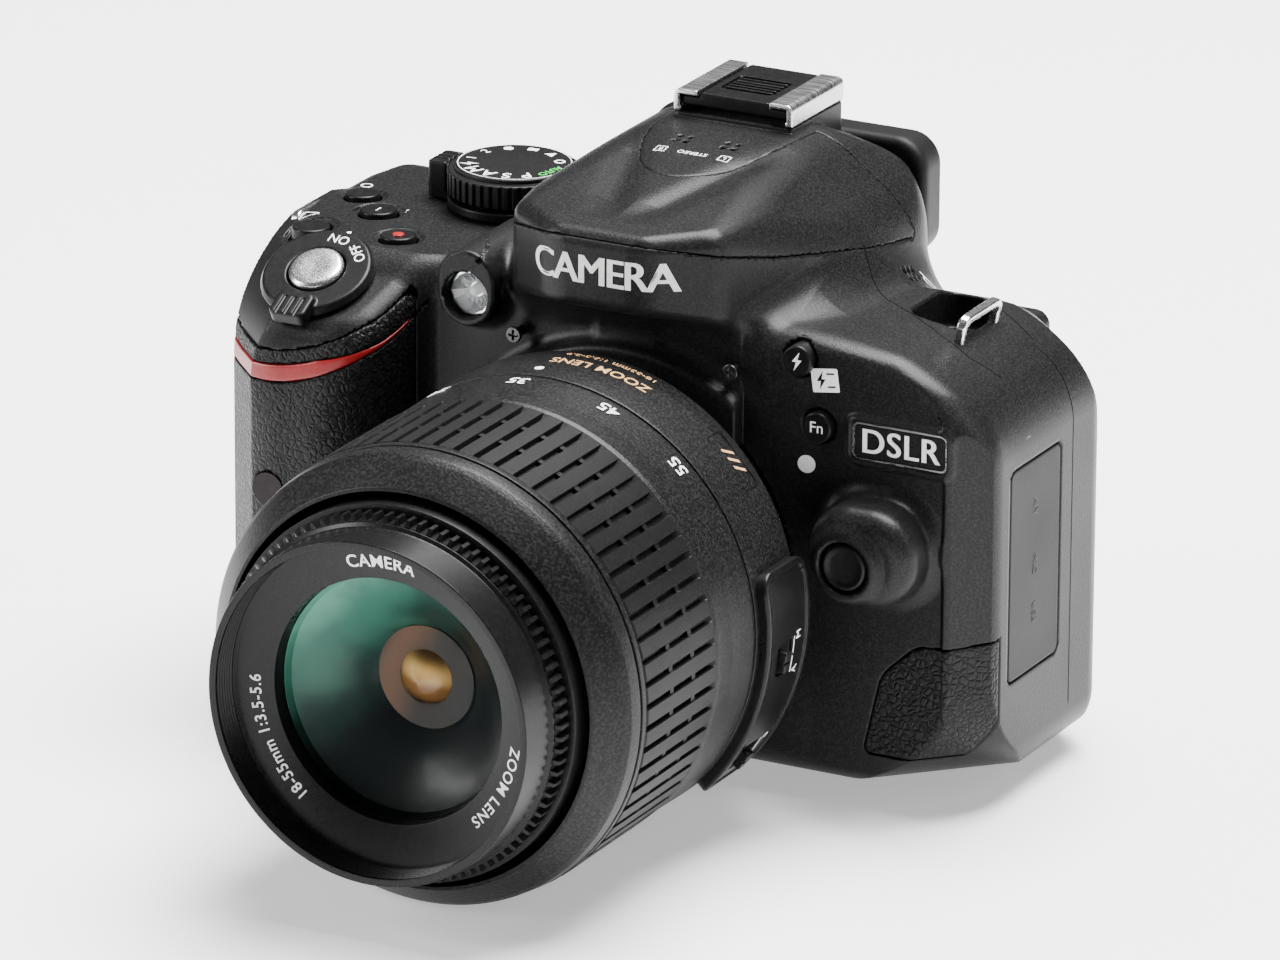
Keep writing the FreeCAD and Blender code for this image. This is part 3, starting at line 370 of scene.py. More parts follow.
# ---------------------------------------------------------------- objects
BODY_OF = {node: body for body, nodes in frame["record"]["behaviour"]["bodies"].items() for node in nodes}
MATERIALS = {}


def to_frame(points):
    return (np.asarray(points, float) - np.array([0.0, SOCKET_Y, 0.0])) * MM


def add_mesh(name, points, faces, material, node, replace=True, normals=None, sharp=None):
    """One object from drawing points and equal-sided faces, riding with a CAD node's body."""
    mesh = bpy.data.meshes.new(name)
    points = to_frame(points)
    faces = np.asarray(faces)
    sides = faces.shape[1]
    mesh.vertices.add(len(points))
    mesh.vertices.foreach_set("co", points.ravel())
    mesh.loops.add(faces.size)
    mesh.loops.foreach_set("vertex_index", faces.ravel())
    mesh.polygons.add(len(faces))
    mesh.polygons.foreach_set("loop_start", np.arange(len(faces)) * sides)
    mesh.update(calc_edges=True)
    mesh.polygons.foreach_set("use_smooth", np.ones(len(faces), bool))
    if sharp is not None:
        mesh.set_sharp_from_angle(angle=math.radians(sharp))
    if normals is not None:
        mesh.normals_split_custom_set_from_vertices(normals)
    return settle(bpy.data.objects.new(name, mesh), material, node, replace)


def settle(obj, material, node, replace):
    """Link an object, paint it, and let it move with a CAD node's body."""
    bpy.context.scene.collection.objects.link(obj)
    obj.data.materials.clear()
    obj.data.materials.append(MATERIALS[material])
    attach(obj, BODY_OF[node])
    if replace:
        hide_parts(node)
    return obj


def meshed(field, low, high, step):
    """Points, quads and normals of a distance field's surface."""
    points, quads = surface(field, low, high, step)
    normals = slope(field, points, step * 0.35)
    return points, quads, normals / np.maximum(np.linalg.norm(normals, axis=1), 1e-9)[:, None]


def add_field(name, field, low, high, step, material, node, replace=True):
    """One object from a distance field."""
    points, quads, normals = meshed(field, low, high, step)
    return add_mesh(name, points, quads, material, node, replace, normals)


def basis(axis):
    """Two unit vectors across an axis."""
    axis = np.array(axis, float) / np.linalg.norm(axis)
    helper = np.array([0.0, 0.0, 1.0]) if abs(axis[2]) < 0.9 else np.array([1.0, 0.0, 0.0])
    across = np.cross(helper, axis)
    across /= np.linalg.norm(across)
    return axis, across, np.cross(axis, across)


def softened(profile, amount):
    """Profile of (radius, height) points with its corners cut by a small round."""
    count = len(profile)
    out = []
    for i in range(count):
        here = np.array(profile[i], float)
        before = np.array(profile[i - 1], float) - here
        after = np.array(profile[(i + 1) % count], float) - here
        lb, la = np.linalg.norm(before), np.linalg.norm(after)
        reach = min(amount, lb * 0.4, la * 0.4)
        if here[0] < 1e-6 or reach < 1e-6:
            out.append(tuple(here))
            continue
        start, end = here + before / lb * reach, here + after / la * reach
        for t in (0.0, 0.33, 0.67, 1.0):
            out.append(tuple((1 - t) ** 2 * start + 2 * t * (1 - t) * here + t * t * end))
    return out


def turned(name, profile, at, axis, material, node, soft=0.2, segments=64, replace=True, sharp=40):
    """Closed body of revolution: profile of (radius, height along the axis) about an axis through at."""
    axis, across, up = basis(axis)
    outline_points = softened(profile, soft)
    count = len(outline_points)
    angles = np.arange(segments) * 2 * math.pi / segments
    points = []
    for radius, height in outline_points:
        circle = np.outer(np.cos(angles), across) + np.outer(np.sin(angles), up)
        points.append(np.array(at) + axis * height + circle * max(radius, 0.001))
    points = np.concatenate(points)
    faces = []
    j = np.arange(segments)
    for i in range(count):
        k = (i + 1) % count
        faces.append(np.stack([i * segments + j, i * segments + (j + 1) % segments,
                               k * segments + (j + 1) % segments, k * segments + j], 1))
    return add_mesh(name, points, np.concatenate(faces)[:, ::-1], material, node, replace, sharp=sharp)


def lens_ring(name, profile, material, node, soft=0.15, segments=240, replace=True, sharp=35):
    """Ring about the lens axis from (y, radius) points."""
    return turned(name, [(r, -y) for y, r in profile], (0.0, 0.0, AXIS_Z), (0, -1, 0), material, node, soft,
                  segments, replace, sharp)


# ---------------------------------------------------------------- materials
def new_material(name):
    material = bpy.data.materials.new(name)
    material.use_nodes = True
    nodes = material.node_tree.nodes
    return material, nodes, material.node_tree.links, nodes["Principled BSDF"]


def noise(nodes, links, scale, detail, vector):
    texture = nodes.new("ShaderNodeTexNoise")
    texture.inputs["Scale"].default_value = scale
    texture.inputs["Detail"].default_value = detail
    links.new(vector, texture.inputs["Vector"])
    return texture.outputs["Fac"]


def ramp(nodes, links, value, low, high, dark, light):
    """Colour from dark to light as the value goes from low to high."""
    node = nodes.new("ShaderNodeValToRGB")
    node.color_ramp.elements[0].position = low
    node.color_ramp.elements[0].color = (*dark, 1.0)
    node.color_ramp.elements[1].position = high
    node.color_ramp.elements[1].color = (*light, 1.0)
    links.new(value, node.inputs["Fac"])
    return node.outputs["Color"]


def scaled(nodes, links, value, low, high, out_low, out_high):
    node = nodes.new("ShaderNodeMapRange")
    for name, number in zip(("From Min", "From Max", "To Min", "To Max"), (low, high, out_low, out_high)):
        node.inputs[name].default_value = number
    links.new(value, node.inputs["Value"])
    return node.outputs["Result"]


def bumped(nodes, links, height, strength, distance, shader, under=None):
    node = nodes.new("ShaderNodeBump")
    node.inputs["Strength"].default_value = strength
    node.inputs["Distance"].default_value = distance
    links.new(height, node.inputs["Height"])
    if under is not None:
        links.new(under, node.inputs["Normal"])
    links.new(node.outputs["Normal"], shader.inputs["Normal"])
    return node.outputs["Normal"]


def grained(name, dark, light, roughness, grain, strength, wear=0.04, metallic=0.0, specular=0.40, coat=0.0):
    """Moulded or painted finish: fine grain, faint blotches and uneven gloss."""
    material, nodes, links, shader = new_material(name)
    vector = nodes.new("ShaderNodeTexCoord").outputs["Object"]
    fine = noise(nodes, links, grain, 2.0, vector)
    broad = noise(nodes, links, 45.0, 4.0, vector)
    links.new(ramp(nodes, links, fine, 0.42, 0.72, dark, light), shader.inputs["Base Color"])
    links.new(scaled(nodes, links, broad, 0.3, 0.7, roughness - wear, roughness + wear),
              shader.inputs["Roughness"])
    shader.inputs["Metallic"].default_value = metallic
    shader.inputs["IOR"].default_value = 1.5 if metallic or coat else 1.28
    shader.inputs["Specular IOR Level"].default_value = specular
    shader.inputs["Coat Weight"].default_value = coat
    bumped(nodes, links, fine, strength, 0.00012, shader)
    MATERIALS[name] = material


def leather(name, dark, light, cell, strength, roughness):
    """Rubber with a leather grain: raised irregular cells with creases between them, the creases darkened
    with painted shade.
    """
    material, nodes, links, shader = new_material(name)
    vector = nodes.new("ShaderNodeTexCoord").outputs["Object"]
    warp = nodes.new("ShaderNodeTexNoise")
    warp.inputs["Scale"].default_value = cell * 0.8
    links.new(vector, warp.inputs["Vector"])
    mix = nodes.new("ShaderNodeVectorMath")
    mix.operation = "MULTIPLY_ADD"
    mix.inputs[1].default_value = (0.0011, 0.0011, 0.0011)
    links.new(warp.outputs["Color"], mix.inputs[0])
    links.new(vector, mix.inputs[2])
    cells = nodes.new("ShaderNodeTexVoronoi")
    cells.feature = "DISTANCE_TO_EDGE"
    cells.inputs["Scale"].default_value = cell
    links.new(mix.outputs["Vector"], cells.inputs["Vector"])
    height = scaled(nodes, links, cells.outputs["Distance"], 0.0, 0.22, 0.0, 1.0)
    fine = noise(nodes, links, cell * 9.0, 2.0, vector)
    # Colour follows the cell height: dark down in the creases and lighter on the cell tops, as painted shade
    # in the creases
    links.new(ramp(nodes, links, height, 0.0, 0.9, dark, light), shader.inputs["Base Color"])
    links.new(scaled(nodes, links, fine, 0.3, 0.7, roughness - 0.08, roughness + 0.08),
              shader.inputs["Roughness"])
    under = bumped(nodes, links, fine, 0.15, 0.0001, shader)
    bumped(nodes, links, height, strength, 0.00035, shader, under)
    shader.inputs["Specular IOR Level"].default_value = 0.45
    shader.inputs["IOR"].default_value = 1.25
    MATERIALS[name] = material


def metal(name, colour, roughness, stretch, strength=0.25):
    """Brushed or turned metal with fine directional lines."""
    material, nodes, links, shader = new_material(name)
    vector = nodes.new("ShaderNodeTexCoord").outputs["Object"]
    mapping = nodes.new("ShaderNodeMapping")
    mapping.inputs["Scale"].default_value = stretch
    links.new(vector, mapping.inputs["Vector"])
    lines = noise(nodes, links, 900.0, 3.0, mapping.outputs["Vector"])
    dark = tuple(c * 0.82 for c in colour)
    links.new(ramp(nodes, links, lines, 0.35, 0.65, dark, colour), shader.inputs["Base Color"])
    links.new(scaled(nodes, links, lines, 0.3, 0.7, roughness - 0.06, roughness + 0.08),
              shader.inputs["Roughness"])
    shader.inputs["Metallic"].default_value = 1.0
    bumped(nodes, links, lines, strength, 0.00005, shader)
    MATERIALS[name] = material


def clear_glass(name, tint, clear, roughness=0.02, coat=0.3, specular=0.5):
    """Thin coated glass: mostly see-through with a sharp reflection and faint smears."""
    material, nodes, links, shader = new_material(name)
    vector = nodes.new("ShaderNodeTexCoord").outputs["Object"]
    smear = noise(nodes, links, 160.0, 3.0, vector)
    links.new(ramp(nodes, links, smear, 0.3, 0.7, tuple(c * 0.85 for c in tint), tint),
              shader.inputs["Base Color"])
    links.new(scaled(nodes, links, smear, 0.3, 0.7, roughness, roughness + 0.03), shader.inputs["Roughness"])
    shader.inputs["Alpha"].default_value = 1.0 - clear
    shader.inputs["Specular IOR Level"].default_value = specular
    shader.inputs["Coat Weight"].default_value = coat
    shader.inputs["Coat Roughness"].default_value = 0.02
    bumped(nodes, links, smear, 0.02, 0.0001, shader)
    MATERIALS[name] = material


def reflection_gradient(name, centre, direction, reach, colours, roughness, coat):
    """Painted reflection: colour that changes along a direction in space and stands in for a reflection seen
    in the glass, with a faint uneven tone.
    """
    material, nodes, links, shader = new_material(name)
    vector = nodes.new("ShaderNodeTexCoord").outputs["Object"]
    shift = nodes.new("ShaderNodeVectorMath")
    shift.operation = "SUBTRACT"
    shift.inputs[1].default_value = centre
    links.new(vector, shift.inputs[0])
    along = nodes.new("ShaderNodeVectorMath")
    along.operation = "DOT_PRODUCT"
    along.inputs[1].default_value = direction
    links.new(shift.outputs["Vector"], along.inputs[0])
    tone = noise(nodes, links, 140.0, 2.0, vector)
    uneven = scaled(nodes, links, tone, 0.3, 0.7, -0.04, 0.04)
    share = scaled(nodes, links, along.outputs["Value"], -reach, reach, 0.0, 1.0)
    total = nodes.new("ShaderNodeMath")
    links.new(share, total.inputs[0])
    links.new(uneven, total.inputs[1])
    mix = nodes.new("ShaderNodeValToRGB")
    mix.color_ramp.interpolation = "EASE"
    while len(mix.color_ramp.elements) < len(colours):
        mix.color_ramp.elements.new(0.5)
    for element, (position, colour) in zip(mix.color_ramp.elements, colours):
        element.position = position
        element.color = (*colour, 1.0)
    links.new(total.outputs["Value"], mix.inputs["Fac"])
    links.new(mix.outputs["Color"], shader.inputs["Base Color"])
    links.new(scaled(nodes, links, tone, 0.3, 0.7, roughness, roughness + 0.06), shader.inputs["Roughness"])
    shader.inputs["Specular IOR Level"].default_value = 0.15
    shader.inputs["Coat Weight"].default_value = coat
    shader.inputs["Coat Roughness"].default_value = 0.03
    bumped(nodes, links, tone, 0.02, 0.0001, shader)
    MATERIALS[name] = material


def make_materials():
    grained("body_paint", (0.0045, 0.0045, 0.0048), (0.0150, 0.0150, 0.0156), 0.38, 2600.0, 0.30)
    grained("lens_paint", (0.0035, 0.0035, 0.0037), (0.0170, 0.0170, 0.0177), 0.38, 2200.0, 0.45)
    grained("smooth_black", (0.0040, 0.0040, 0.0042), (0.0070, 0.0070, 0.0073), 0.28, 1500.0, 0.05)
    grained("satin_black", (0.0035, 0.0035, 0.0037), (0.0080, 0.0080, 0.0083), 0.34, 1500.0, 0.08)
    grained("deep_black", (0.002, 0.002, 0.002), (0.004, 0.004, 0.004), 0.75, 1200.0, 0.10, specular=0.08)
    grained("dial_side", (0.0035, 0.0035, 0.0037), (0.0090, 0.0090, 0.0094), 0.42, 2600.0, 0.12)
    grained("ribbed_rubber", (0.0040, 0.0040, 0.0042), (0.0100, 0.0100, 0.0104), 0.44, 3000.0, 0.20)
    grained("soft_rubber", (0.0035, 0.0035, 0.0037), (0.0070, 0.0070, 0.0073), 0.50, 2500.0, 0.16)
    grained("red_gloss", (0.22, 0.005, 0.007), (0.28, 0.008, 0.010), 0.34, 1400.0, 0.05, coat=0.1)
    grained("white_mark", (0.80, 0.80, 0.79), (0.90, 0.90, 0.89), 0.45, 1800.0, 0.08)
    grained("gold_mark", (0.70, 0.40, 0.18), (0.82, 0.50, 0.26), 0.38, 1800.0, 0.08, metallic=0.3)
    grained("green_mark", (0.05, 0.50, 0.08), (0.08, 0.62, 0.10), 0.45, 1800.0, 0.08)
    grained("battery_plastic", (0.05, 0.05, 0.055), (0.09, 0.09, 0.095), 0.5, 1500.0, 0.15)
    grained("card_plastic", (0.02, 0.05, 0.14), (0.03, 0.07, 0.20), 0.4, 1500.0, 0.1)
    grained("board_paint", (0.01, 0.10, 0.05), (0.02, 0.16, 0.08), 0.4, 700.0, 0.1)
    grained("receiver", (0.006, 0.002, 0.003), (0.010, 0.004, 0.005), 0.22, 600.0, 0.03)
    grained("blade_black", (0.01, 0.01, 0.01), (0.02, 0.02, 0.02), 0.35, 900.0, 0.08, metallic=0.3)
    leather("grip_leather", (0.002, 0.002, 0.002), (0.008, 0.008, 0.0085), 900.0, 0.45, 0.42)
    metal("steel", (0.62, 0.62, 0.63), 0.26, (0.15, 3.0, 1.0))
    metal("bright_steel", (0.76, 0.76, 0.77), 0.20, (4.0, 4.0, 4.0), 0.05)
    metal("dark_steel", (0.08, 0.08, 0.085), 0.35, (1.0, 1.0, 1.0), 0.2)
    metal("silver_cap", (0.74, 0.74, 0.75), 0.24, (5.0, 5.0, 5.0), 0.03)
    metal("lamp_mirror", (0.90, 0.91, 0.92), 0.10, (2.0, 2.0, 2.0), 0.02)
    metal("brass", (0.62, 0.50, 0.28), 0.30, (1.0, 1.0, 4.0))
    metal("mirror", (0.86, 0.87, 0.88), 0.06, (1.0, 1.0, 1.0), 0.01)
    clear_glass("clear_window", (0.85, 0.88, 0.90), 0.90)
    clear_glass("front_glass", (0.002, 0.006, 0.005), 0.95, coat=0.0, specular=0.22)
    clear_glass("monitor_glass", (0.006, 0.006, 0.007), 0.05, coat=0.0, specular=0.25)
    clear_glass("sensor_glass", (0.05, 0.07, 0.10), 0.2)
    axis = (0.0, (-66.0 - SOCKET_Y) * MM, AXIS_Z * MM)
    # Inner shell of the front element: painted reflection of the soft box, teal-green towards the upper left
    # and fading to black
    reflection_gradient("bowl_reflection_paint", axis, (-0.72, 0.0, 0.69), 0.020,
           [(0.0, (0.001, 0.002, 0.002)), (0.48, (0.001, 0.003, 0.003)), (0.62, (0.006, 0.022, 0.018)),
            (0.82, (0.035, 0.13, 0.095)), (1.0, (0.10, 0.30, 0.22))], 0.34, 0.03)
    # Disc behind the shell: painted reflection, a brown band towards the upper left on black
    reflection_gradient("halo_reflection_paint", axis, (-0.9, 0.0, 0.3), 0.009,
           [(0.0, (0.002, 0.002, 0.002)), (0.45, (0.008, 0.005, 0.003)), (0.8, (0.10, 0.045, 0.018)),
            (1.0, (0.020, 0.014, 0.010))], 0.3, 0.05)
    # Rear element: painted highlight, a bright amber band a little above the centre on darker amber
    reflection_gradient("amber_highlight_paint", axis, (0.25, -0.2, 0.95), 0.0046,
           [(0.0, (0.02, 0.010, 0.004)), (0.35, (0.16, 0.075, 0.020)), (0.62, (0.62, 0.38, 0.12)),
            (0.85, (0.10, 0.050, 0.012)), (1.0, (0.02, 0.010, 0.004))], 0.14, 0.4)


# ---------------------------------------------------------------- covers, rubber and doors
UP = (0, 0, 1)
FRONT = (0, -1, 0)
REAR = (0, 1, 0)
FRONT_BUTTONS = {"flash_button": (29.5, 69.4, 2.5), "fn_button": (33.0, 59.1, 2.5)}
REAR_BUTTONS = {"playback_button": (-32.5, 58.0, 2.8), "zoom_in_button": (-32.5, 20.0, 2.8),
                "zoom_out_button": (-32.5, 11.5, 2.8), "delete_button": (-50.0, 14.0, 2.8),
                "lock_button": (-40.0, 64.5, 2.6)}
BUTTON_GAP = 0.3
SELECTOR = (-48.0, 38.0)
SELECTOR_R = 9.5
OK_GAP = 3.5
SHUTTER = np.array([-52.7, 0.0, 71.25])
SHUTTER_TILT = math.radians(28.0)
SHUTTER_AXIS = np.array([0.0, -math.sin(SHUTTER_TILT), math.cos(SHUTTER_TILT)])
DIAL_WHEEL = (-55.0, 53.5, 68.0)
EYECUP_Z = 78.5
EYECUP_HALF = 24.5
HINGE_LUGS = (49.5, 58.0)


def about_shutter(x, y, z):
    """Across, along and height about the release button's tilted axis."""
    dy, dz = y - SHUTTER[1], z - SHUTTER[2]
    height = dy * SHUTTER_AXIS[1] + dz * SHUTTER_AXIS[2]
    return x - SHUTTER[0], dy * SHUTTER_AXIS[2] - dz * SHUTTER_AXIS[1], height


def accent_line(x, y):
    """Height of the accent strip's lower edge: it climbs toward the lens and round the grip's left side."""
    return 56.6 + 0.018 * np.maximum(x + 58.0, 0) ** 2 + 0.030 * np.maximum(y + 6.0, 0) ** 2


def grip_region(x, y, z):
    area = round_max(x + 36.8, z - np.minimum(accent_line(x, y) + 5.0, 71.0), 0.8)
    return np.maximum(area, np.maximum(7.0 - z, y - 20.0))


def accent_region(x, y, z):
    thick = 2.7 * np.clip((-x - 34.5) / 13.0, 0.0, 1.0) * np.clip((9.0 - y) / 9.0, 0.0, 1.0)
    line = accent_line(x, y)
    return np.maximum(np.maximum(line - z, z - line - thick), y - 9.0)


def front_pad_region(x, y, z):
    corner = outline(x, z, [(41.0, 6.6, 1.5), (70.0, 6.6, 1.0), (70.0, 27.6, 1.0), (50.0, 25.6, 4.0),
                            (44.0, 20.0, 6.0)])
    return np.maximum(corner, y - 12.0)


def thumb_region(x, y, z):
    return np.maximum(pill(x + 62.0, z - 53.5, 9.0, 6.0, 3.0), 48.0 - y)


RUBBER_REGIONS = (grip_region, accent_region, front_pad_region, thumb_region)


def flash_region(x, y, z, spare=0.0):
    """Room of the closed flash head: above its parting line, before its hinge, around the fixed panel."""
    above = flash_floor(x, y) - spare - z
    back = y - (43.4 + (94.0 - z) * 0.28) - spare
    panel = panel_outline(x, y)
    region = round_max(above, back, 1.5)
    return np.maximum(round_max(region, spare - panel, 0.3), np.maximum(70.0 - z, np.abs(x) - 29.6))


def connector_region(x, y, z):
    return np.maximum(pill(y - 24.0, z - 35.5, 8.9, 17.4, 1.6), 54.0 - x)


def card_region(x, y, z):
    return np.maximum(pill(y - 39.7, z - 43.0, 8.6, 16.9, 1.6), x + 60.0)


def battery_region(x, y, z):
    return np.maximum(pill(x + 53.5, y - 14.5, 10.4, 19.4, 1.6), z - 4.5)


def openings(x, y, z):
    """Every hole through the covers, as one distance."""
    holes = [flash_region(x, y, z, 0.05)]
    for region in (connector_region, card_region, battery_region):
        holes.append(region(x, y, z) - 0.14)
    for bx, by, r in TOP_BUTTONS.values():
        holes.append(np.maximum(disc(x - bx, y - by, r + BUTTON_GAP), 66.0 - z))
    for bx, bz, r in FRONT_BUTTONS.values():
        holes.append(np.maximum(disc(x - bx, z - bz, r + BUTTON_GAP), y - 12.0))
    for bx, bz, r in REAR_BUTTONS.values():
        holes.append(np.maximum(disc(x - bx, z - bz, r + BUTTON_GAP), 50.0 - y))
    holes.append(np.maximum(disc(x - SELECTOR[0], z - SELECTOR[1], SELECTOR_R + BUTTON_GAP), 50.0 - y))
    across, along, height = about_shutter(x, y, z)
    holes.append(np.maximum(disc(across, along, 5.9), -8.0 - height))
    holes.append(np.maximum(disc(x - LAMP[0], z - LAMP[1], LAMP_R + 0.08), y - 10.0))
    holes.append(np.maximum(disc(x - RELEASE[0], z - RELEASE[1], RELEASE_R + BUTTON_GAP), y - 10.0))
    holes.append(np.maximum(disc(x, z - AXIS_Z, 28.55), y - 12.0))
    holes.append(np.maximum(disc(x - DIAL_X, y - DIAL_Y, 2.8), 66.0 - z))
    holes.append(np.maximum(pill(x, z - EYECUP_Z, 12.0, 6.5, 2.0), 48.0 - y))
    wheel = np.maximum(disc(x - DIAL_WHEEL[0], y - DIAL_WHEEL[1], 7.5), np.abs(z - DIAL_WHEEL[2]) - 2.1)
    holes.append(wheel)
    holes.append(np.maximum(disc(x, y - SOCKET_Y, 6.1), z - 6.0))
    for cx in (-4.2, 4.2):
        for dx, dy in ((-0.9, -0.9), (0.9, -0.9), (-0.9, 0.9), (0.9, 0.9)):
            holes.append(np.maximum(disc(x - cx - dx, y - 30.5 - dy, 0.42), 88.0 - z))
    for i in range(3):
        for j in range(2):
            holes.append(np.maximum(disc(x - 30.5 - 1.3 * j, y - 39.0 - 1.5 * i, 0.4), 66.0 - z))
    whole = holes[0]
    for hole in holes[1:]:
        whole = np.minimum(whole, hole)
    return whole


def cover_shell(p):
    """The covers as one hollow shell, before they are parted."""
    x, y, z = p
    skin = outer(p)
    rubber = RUBBER_REGIONS[0](x, y, z)
    for region in RUBBER_REGIONS[1:]:
        rubber = np.minimum(rubber, region(x, y, z))
    depth = WALL + SKIN * np.clip(0.5 - rubber, 0.0, 1.0)
    shell = np.maximum(skin, -(skin + depth))
    pocket = np.maximum(rubber - SEAM, -(skin + SKIN))
    shell = round_max(shell, -pocket, 0.1)
    return round_max(shell, -openings(x, y, z), 0.22), skin


def flash_walls(x, y, z, skin):
    """Floor and walls inside the hump that close the room under the flash head."""
    floor = slab(z - flash_floor(x, y), -1.9, -0.3)
    floor = np.maximum(floor, np.maximum(y - 46.0, skin + 0.5))
    panel = panel_outline(x, y)
    wall = np.maximum(slab(panel, -1.9, -0.14), flash_floor(x, y) - 1.5 - z)
    back = np.maximum(np.abs(y - 48.5) - 0.8, flash_floor(x, y) - 1.5 - z)
    walls = np.minimum(np.maximum(wall, y - 48.0), np.maximum(back, 0.3 - panel))
    return np.minimum(floor, np.maximum(walls, skin + 0.5))


def hinge_lugs(x, y, z):
    """Two lugs at the rear right that carry the monitor arm's pin."""
    across, back = x - HINGE_LUGS[0], y - HINGE_LUGS[1]
    plan = np.minimum(disc(across, back, 3.6),
                      np.maximum(np.abs(across) - 3.6, slab(y, BAY_Y - 1.2, HINGE_LUGS[1])))
    lugs = np.minimum(*[round_max(plan, slab(z, low, low + 4.6), 0.4) for low in (19.0, 46.4)])
    return np.maximum(lugs, 1.6 - np.hypot(across, back))


def cover_field(p):
    """The covers in one piece, with the flash well and the monitor's hinge lugs."""
    x, y, z = p
    shell, skin = cover_shell(p)
    shell = np.minimum(shell, np.maximum(flash_walls(x, y, z, skin), np.abs(x) - 29.0))
    return np.minimum(shell, hinge_lugs(x, y, z))


def cover_of(middle):
    """Name of the cover each point belongs to, split where the covers meet."""
    x, y, z = middle.T
    top_edge = np.where(x < -37.0, np.minimum(accent_line(x, y) + 5.2, TOP_SPLIT), TOP_SPLIT)
    rear = np.where(y < FRONT_SPLIT, "front_cover", "rear_cover")
    return np.where(z > top_edge, "top_cover", np.where(z < BOTTOM_SPLIT, "bottom_cover", rear))


def skin_piece(region, thickness, edge):
    """A field for a piece of the body's skin inside a region."""
    def field(p):
        skin = outer(p)
        shell = np.maximum(skin, -(skin + thickness))
        return round_max(shell, region(*p), edge)
    return field


def grip_field_piece(p):
    x, y, z = p
    skin = outer(p)
    shell = np.maximum(skin, -(skin + SKIN - 0.08))
    shell = round_max(shell, grip_region(x, y, z) + SEAM, 0.12)
    shell = np.maximum(shell, -(accent_region(x, y, z) - 0.05))
    window = disc(x + 55.7, z - 39.0, 2.8)
    return np.maximum(shell, -window)


def flash_field(p):
    x, y, z = p
    skin = outer(p)
    region = flash_region(x, y, z)
    shell = np.maximum(skin, -(skin + 1.6))
    panel = panel_outline(x, y)
    under = np.maximum(slab(z - flash_floor(x, y), 0.0, 1.4), skin + 0.2)
    window = np.maximum(np.abs(x) - 13.0, slab(y, -0.5, 11.5))
    under = np.maximum(under, -window)
    wall = np.maximum(slab(panel, 0.0, 1.5), skin + 0.2)
    return round_max(np.minimum(shell, np.minimum(under, wall)), region, 0.15)


def make_covers():
    """The four covers out of one surface, and the pieces let into them."""
    high = (RIGHT_X + 1, 62.5, HUMP_Z + 1)
    points, quads, normals = meshed(cover_field, COVER_LOW, high, 0.5)
    cover = cover_of(points[quads].mean(axis=1))
    for node in ("top_cover", "front_cover", "rear_cover", "bottom_cover"):
        used, faces = np.unique(quads[cover == node], return_inverse=True)
        add_mesh(node + "_skin", points[used], faces.reshape(-1, 4), "body_paint", node, True, normals[used])
    add_field("flash_head_skin", flash_field, (-31, -9, 70), (31, 50, HUMP_Z + 1), 0.36, "body_paint",
              "flash_head")
    add_field("grip_leather_skin", grip_field_piece, COVER_LOW, (-33, 21, 68), 0.5, "grip_leather",
              "grip_rubber")
    for name, region, start, end, step, material, node in INLAYS:
        add_field(name, skin_piece(narrowed(region), SKIN - 0.1, 0.3), start, end, step, material, node)
    add_field("connector_door", skin_piece(connector_region, 1.5, 0.4), (53, 13, 16), (63, 35, 55), 0.35,
              "soft_rubber", "connector_cover")
    add_field("card_door_skin", skin_piece(card_region, 1.5, 0.35), (-69, 29, 24), (-58, 50, 62), 0.4,
              "body_paint", "card_door")
    add_field("battery_door_skin", skin_piece(battery_region, 1.5, 0.35), (-66, -7, -1), (-41, 36, 6), 0.4,
              "body_paint", "battery_door")


def narrowed(region):
    """A region drawn in by the seam around it."""
    def field(x, y, z):
        return region(x, y, z) + SEAM
    return field


COVER_LOW = (LEFT_X - 1, GRIP_Y - 2, -1)
INLAYS = (("accent_strip", accent_region, COVER_LOW, (-32, 12, 68), 0.3, "red_gloss", "grip_accent"),
          ("front_pad", front_pad_region, (36, 0, 4), (64, 14, 30), 0.35, "grip_leather", "rubber_pads"),
          ("thumb_pad", thumb_region, (-72, 45, 44), (-50, 60, 62), 0.4, "grip_leather", "rubber_pads"))


# ---------------------------------------------------------------- controls
def button(name, base, axis, radius, proud, material="satin_black", dish=0.25):
    """Round push button with a dished face and a soft edge."""
    profile = [(0, proud - dish), (radius * 0.6, proud - dish * 0.5), (radius - 0.25, proud),
               (radius, proud - 0.25), (radius, -WALL - 0.4), (radius + 0.9, -WALL - 0.4),
               (radius + 0.9, -WALL - 1.1), (0, -WALL - 1.1)]
    return turned(name + "_cap", profile, base, axis, material, name, 0.18, 56)


def skin_height(x, y):
    """Height of the camera's top at a point seen from above."""
    z = HUMP_Z + 2.0
    for _ in range(60):
        z -= 0.8 * float(outer((np.array([x]), np.array([y]), np.array([z])))[0])
    return z


